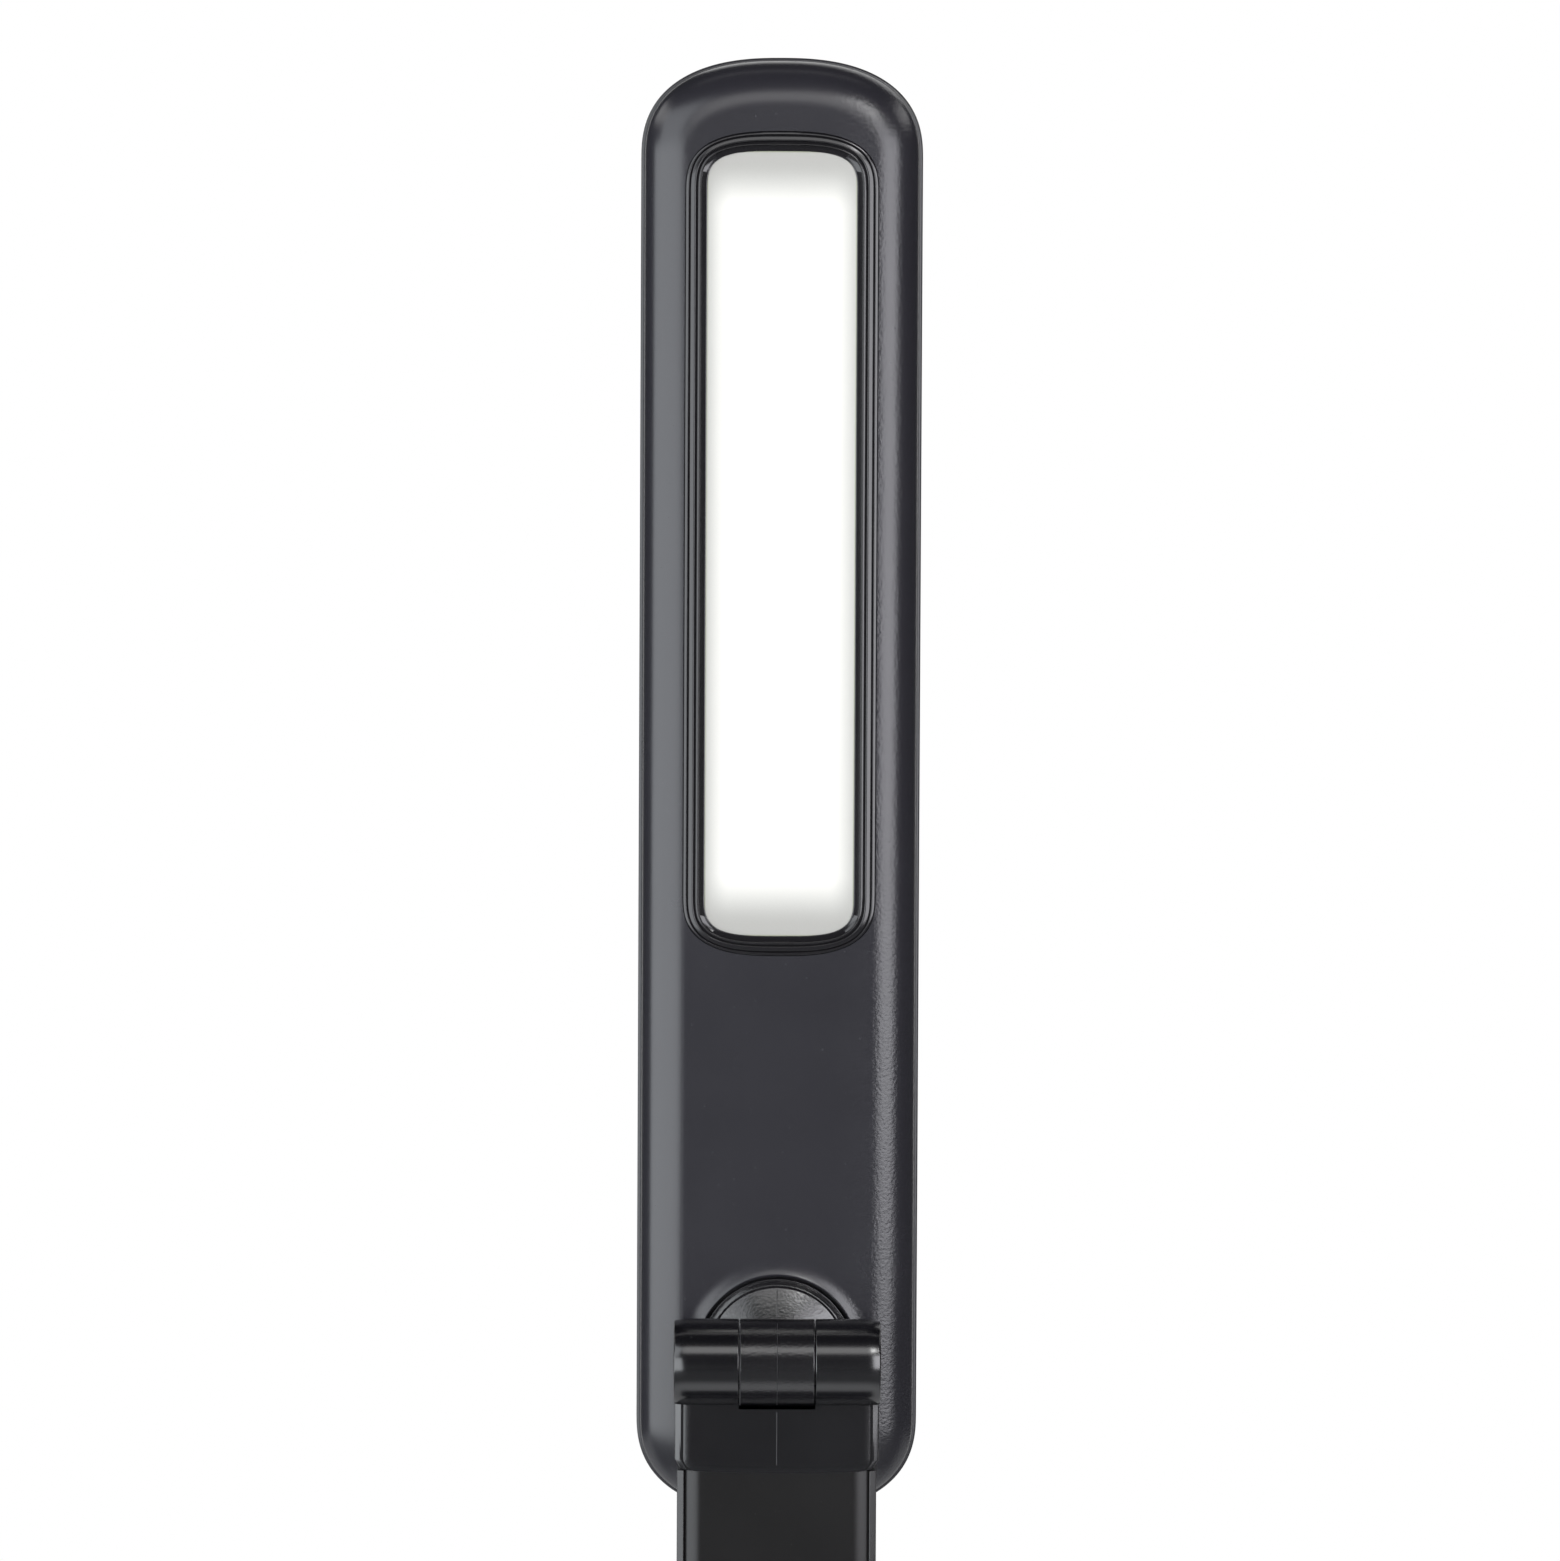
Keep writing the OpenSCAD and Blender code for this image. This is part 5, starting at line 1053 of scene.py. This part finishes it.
def look_along(pitch, yaw, roll):
    """Rotation of a camera that looks along +Y, turned by yaw, pitched down and rolled."""
    ahead = Vector((math.sin(yaw) * math.cos(pitch), math.cos(yaw) * math.cos(pitch), -math.sin(pitch)))
    right = Vector((math.cos(yaw), -math.sin(yaw), 0))
    up = right.cross(ahead)
    across = math.cos(roll) * right + math.sin(roll) * up
    upward = -math.sin(roll) * right + math.cos(roll) * up
    return Matrix((across, upward, -ahead)).transposed().to_4x4()


# The photograph's view: the camera's place in metres, and its pitch, yaw and roll in degrees
EYE, VIEW_ANGLES, FOCAL_LENGTH = (-0.0089, -1.45, 0.5781), (2.57, 0.344, 0.273), 161.57
TARGET = Vector((0.0, 0.045, 0.50))  # where the lights point, in the head


def camera():
    """The photograph's camera."""
    data = bpy.data.cameras.new("camera")
    data.lens = FOCAL_LENGTH
    data.sensor_width = 36.0
    data.clip_end = 50.0
    eye = bpy.data.objects.new("camera", data)
    eye.matrix_world = Matrix.Translation(EYE) @ look_along(*map(math.radians, VIEW_ANGLES))
    bpy.context.scene.collection.objects.link(eye)
    bpy.context.scene.camera = eye


def softbox(name, azimuth, elevation, distance, size, radiance, tint=(1, 1, 1)):
    """A soft light that faces the head; azimuth is from the front towards +X, in degrees."""
    a, e = math.radians(azimuth), math.radians(elevation)
    way = Vector((math.sin(a) * math.cos(e), -math.cos(a) * math.cos(e), math.sin(e)))
    data = bpy.data.lights.new(name, "AREA")
    data.shape = "RECTANGLE"
    data.size, data.size_y = size
    data.energy = radiance * size[0] * size[1] * math.pi
    data.color = tint
    lamp = bpy.data.objects.new(name, data)
    lamp.matrix_world = (Matrix.Translation(TARGET + way * distance)
                         @ way.to_track_quat("Z", "Y").to_matrix().to_4x4())
    lamp.visible_camera = False
    bpy.context.scene.collection.objects.link(lamp)


# The room's brightness to diffuse rays, and in reflections: ahead, elsewhere, and the share left above
AMBIENT, ROOM_GLOSS, SIDE_GLOSS, ROOM_FADE = 0.148, 0.082, 0.049, 0.3
ROOM_FRONT, ROOM_HIGH, BACKDROP = (-1.0, -0.75), (-0.04, 0.06), (0.80, 0.97)  # of a ray's direction


def world():
    """White as the camera sees it and behind the lamp in reflections, with a dim room all round."""
    sky = bpy.data.worlds.new("studio")
    sky.use_nodes = True
    sky.cycles.sampling_method = "NONE"
    nodes = Nodes(sky.node_tree, "Generated")
    rays = nodes.rays()
    room = nodes.math("MULTIPLY", nodes.ramp(nodes.along("Y"), *ROOM_FRONT, ROOM_GLOSS, SIDE_GLOSS),
                      nodes.ramp(nodes.along("Z"), *ROOM_HIGH, 1.0, ROOM_FADE))
    behind = nodes.math("MAXIMUM", nodes.ramp(nodes.along("Y"), *BACKDROP), room)
    mirrored = nodes.math("MULTIPLY", behind, rays["Is Glossy Ray"])
    ambient = nodes.math("MULTIPLY", rays["Is Diffuse Ray"], AMBIENT)
    seen = nodes.math("MAXIMUM", rays["Is Camera Ray"], rays["Is Transmission Ray"])
    ground = sky.node_tree.nodes["Background"].inputs
    ground["Color"].default_value = (1, 1, 1, 1)
    nodes.link(nodes.math("MAXIMUM", seen, nodes.math("MAXIMUM", mirrored, ambient)), ground["Strength"])
    bpy.context.scene.world = sky


FLOOR_R, FLOOR_T = 1500, 10
FLOOR_PAINTED_SHADE, FLOOR_PAINTED_SHADE_AHEAD = (0.20, 0.42), (0.25, -0.05)  # in metres, where reflections see it darker: painted shade that stands in for a pool of light round the lamp
FLOOR_WHITE = (0.28, 0.62)  # in metres, where the camera sees it turn to plain white


def floor():
    """A round pale floor: white far off for the camera, and in reflections painted darker ahead of the lamp
    and away from it, as if a pool of light lay round the lamp.
    """
    disc = turned([(0, -FLOOR_T), (FLOOR_R - 50, -FLOOR_T), (FLOOR_R, -6), (FLOOR_R, -2), (FLOOR_R - 2, 0),
                   (0, 0)], 128)
    disc.name = "floor"
    disc.data.transform(LAMP_FRAME)
    disc.data.shade_smooth()
    disc.data.set_sharp_from_angle(angle=math.radians(30))
    finish = Finish("floor", (0.88, 0.88, 0.88), 0.7, Emission_Color=(1, 1, 1, 1))
    length = finish.add("VectorMath")
    length.operation = "LENGTH"
    finish.link(finish.coords, length.inputs[0])
    away, rays = length.outputs["Value"], finish.rays()
    # painted shade: in reflections only, the floor's colour turns dark grey away from the lamp on its front
    # side, standing in for a pool of light round the lamp
    painted_shade = finish.math("MULTIPLY", finish.ramp(away, *FLOOR_PAINTED_SHADE),
                         finish.ramp(finish.along("Y"), *FLOOR_PAINTED_SHADE_AHEAD))
    shade = finish.blend(finish.math("MULTIPLY", painted_shade, rays["Is Glossy Ray"]),
                         finish.tinted(0.015, finish.noise(6.0)), (0.15, 0.15, 0.15))
    white = finish.math("MULTIPLY", finish.ramp(away, *FLOOR_WHITE), rays["Is Camera Ray"])
    finish.feed("Base Color", finish.blend(white, shade, (0.0, 0.0, 0.0)))
    finish.feed("Emission Strength", white)
    disc.data.materials.append(finish.material)


def studio():
    """Plain soft studio light, a white backdrop and a pale floor."""
    bpy.context.scene.view_settings.view_transform = "Standard"
    world()
    floor()
    softbox("left_softbox", -52, -8, 1.30, (2.02, 1.10), 2.3, (0.95, 0.99, 1.03))
    softbox("left_high_softbox", -48, 30, 1.28, (1.10, 0.62), 1.56, (0.95, 0.99, 1.03))
    softbox("right_softbox", 35.5, 4, 1.30, (0.82, 0.80), 3.53, (0.98, 0.98, 1.03))
    softbox("right_high_softbox", 23, 34, 1.20, (0.28, 0.22), 7.38)
    softbox("top_softbox", 3, 32, 0.72, (0.46, 0.24), 1.39)
    softbox("overhead_strip", 0, 88, 1.30, (1.10, 0.08), 0.74)
    softbox("right_side_softbox", 98, 36, 1.30, (0.90, 0.36), 1.48)
    softbox("left_side_softbox", -98, 36, 1.30, (0.90, 0.36), 1.48)
    softbox("back_softbox", 165, 42, 1.60, (1.30, 0.70), 0.98)


camera()
head_front_shell()
head_back_shell()
bezel()
diffuser()
swivel()
collar("upper", UPPER_FRAME)
collar("lower", LOWER_FRAME)
arm()
base_cover()
touch_glass()
tower()
power_socket()
studio()
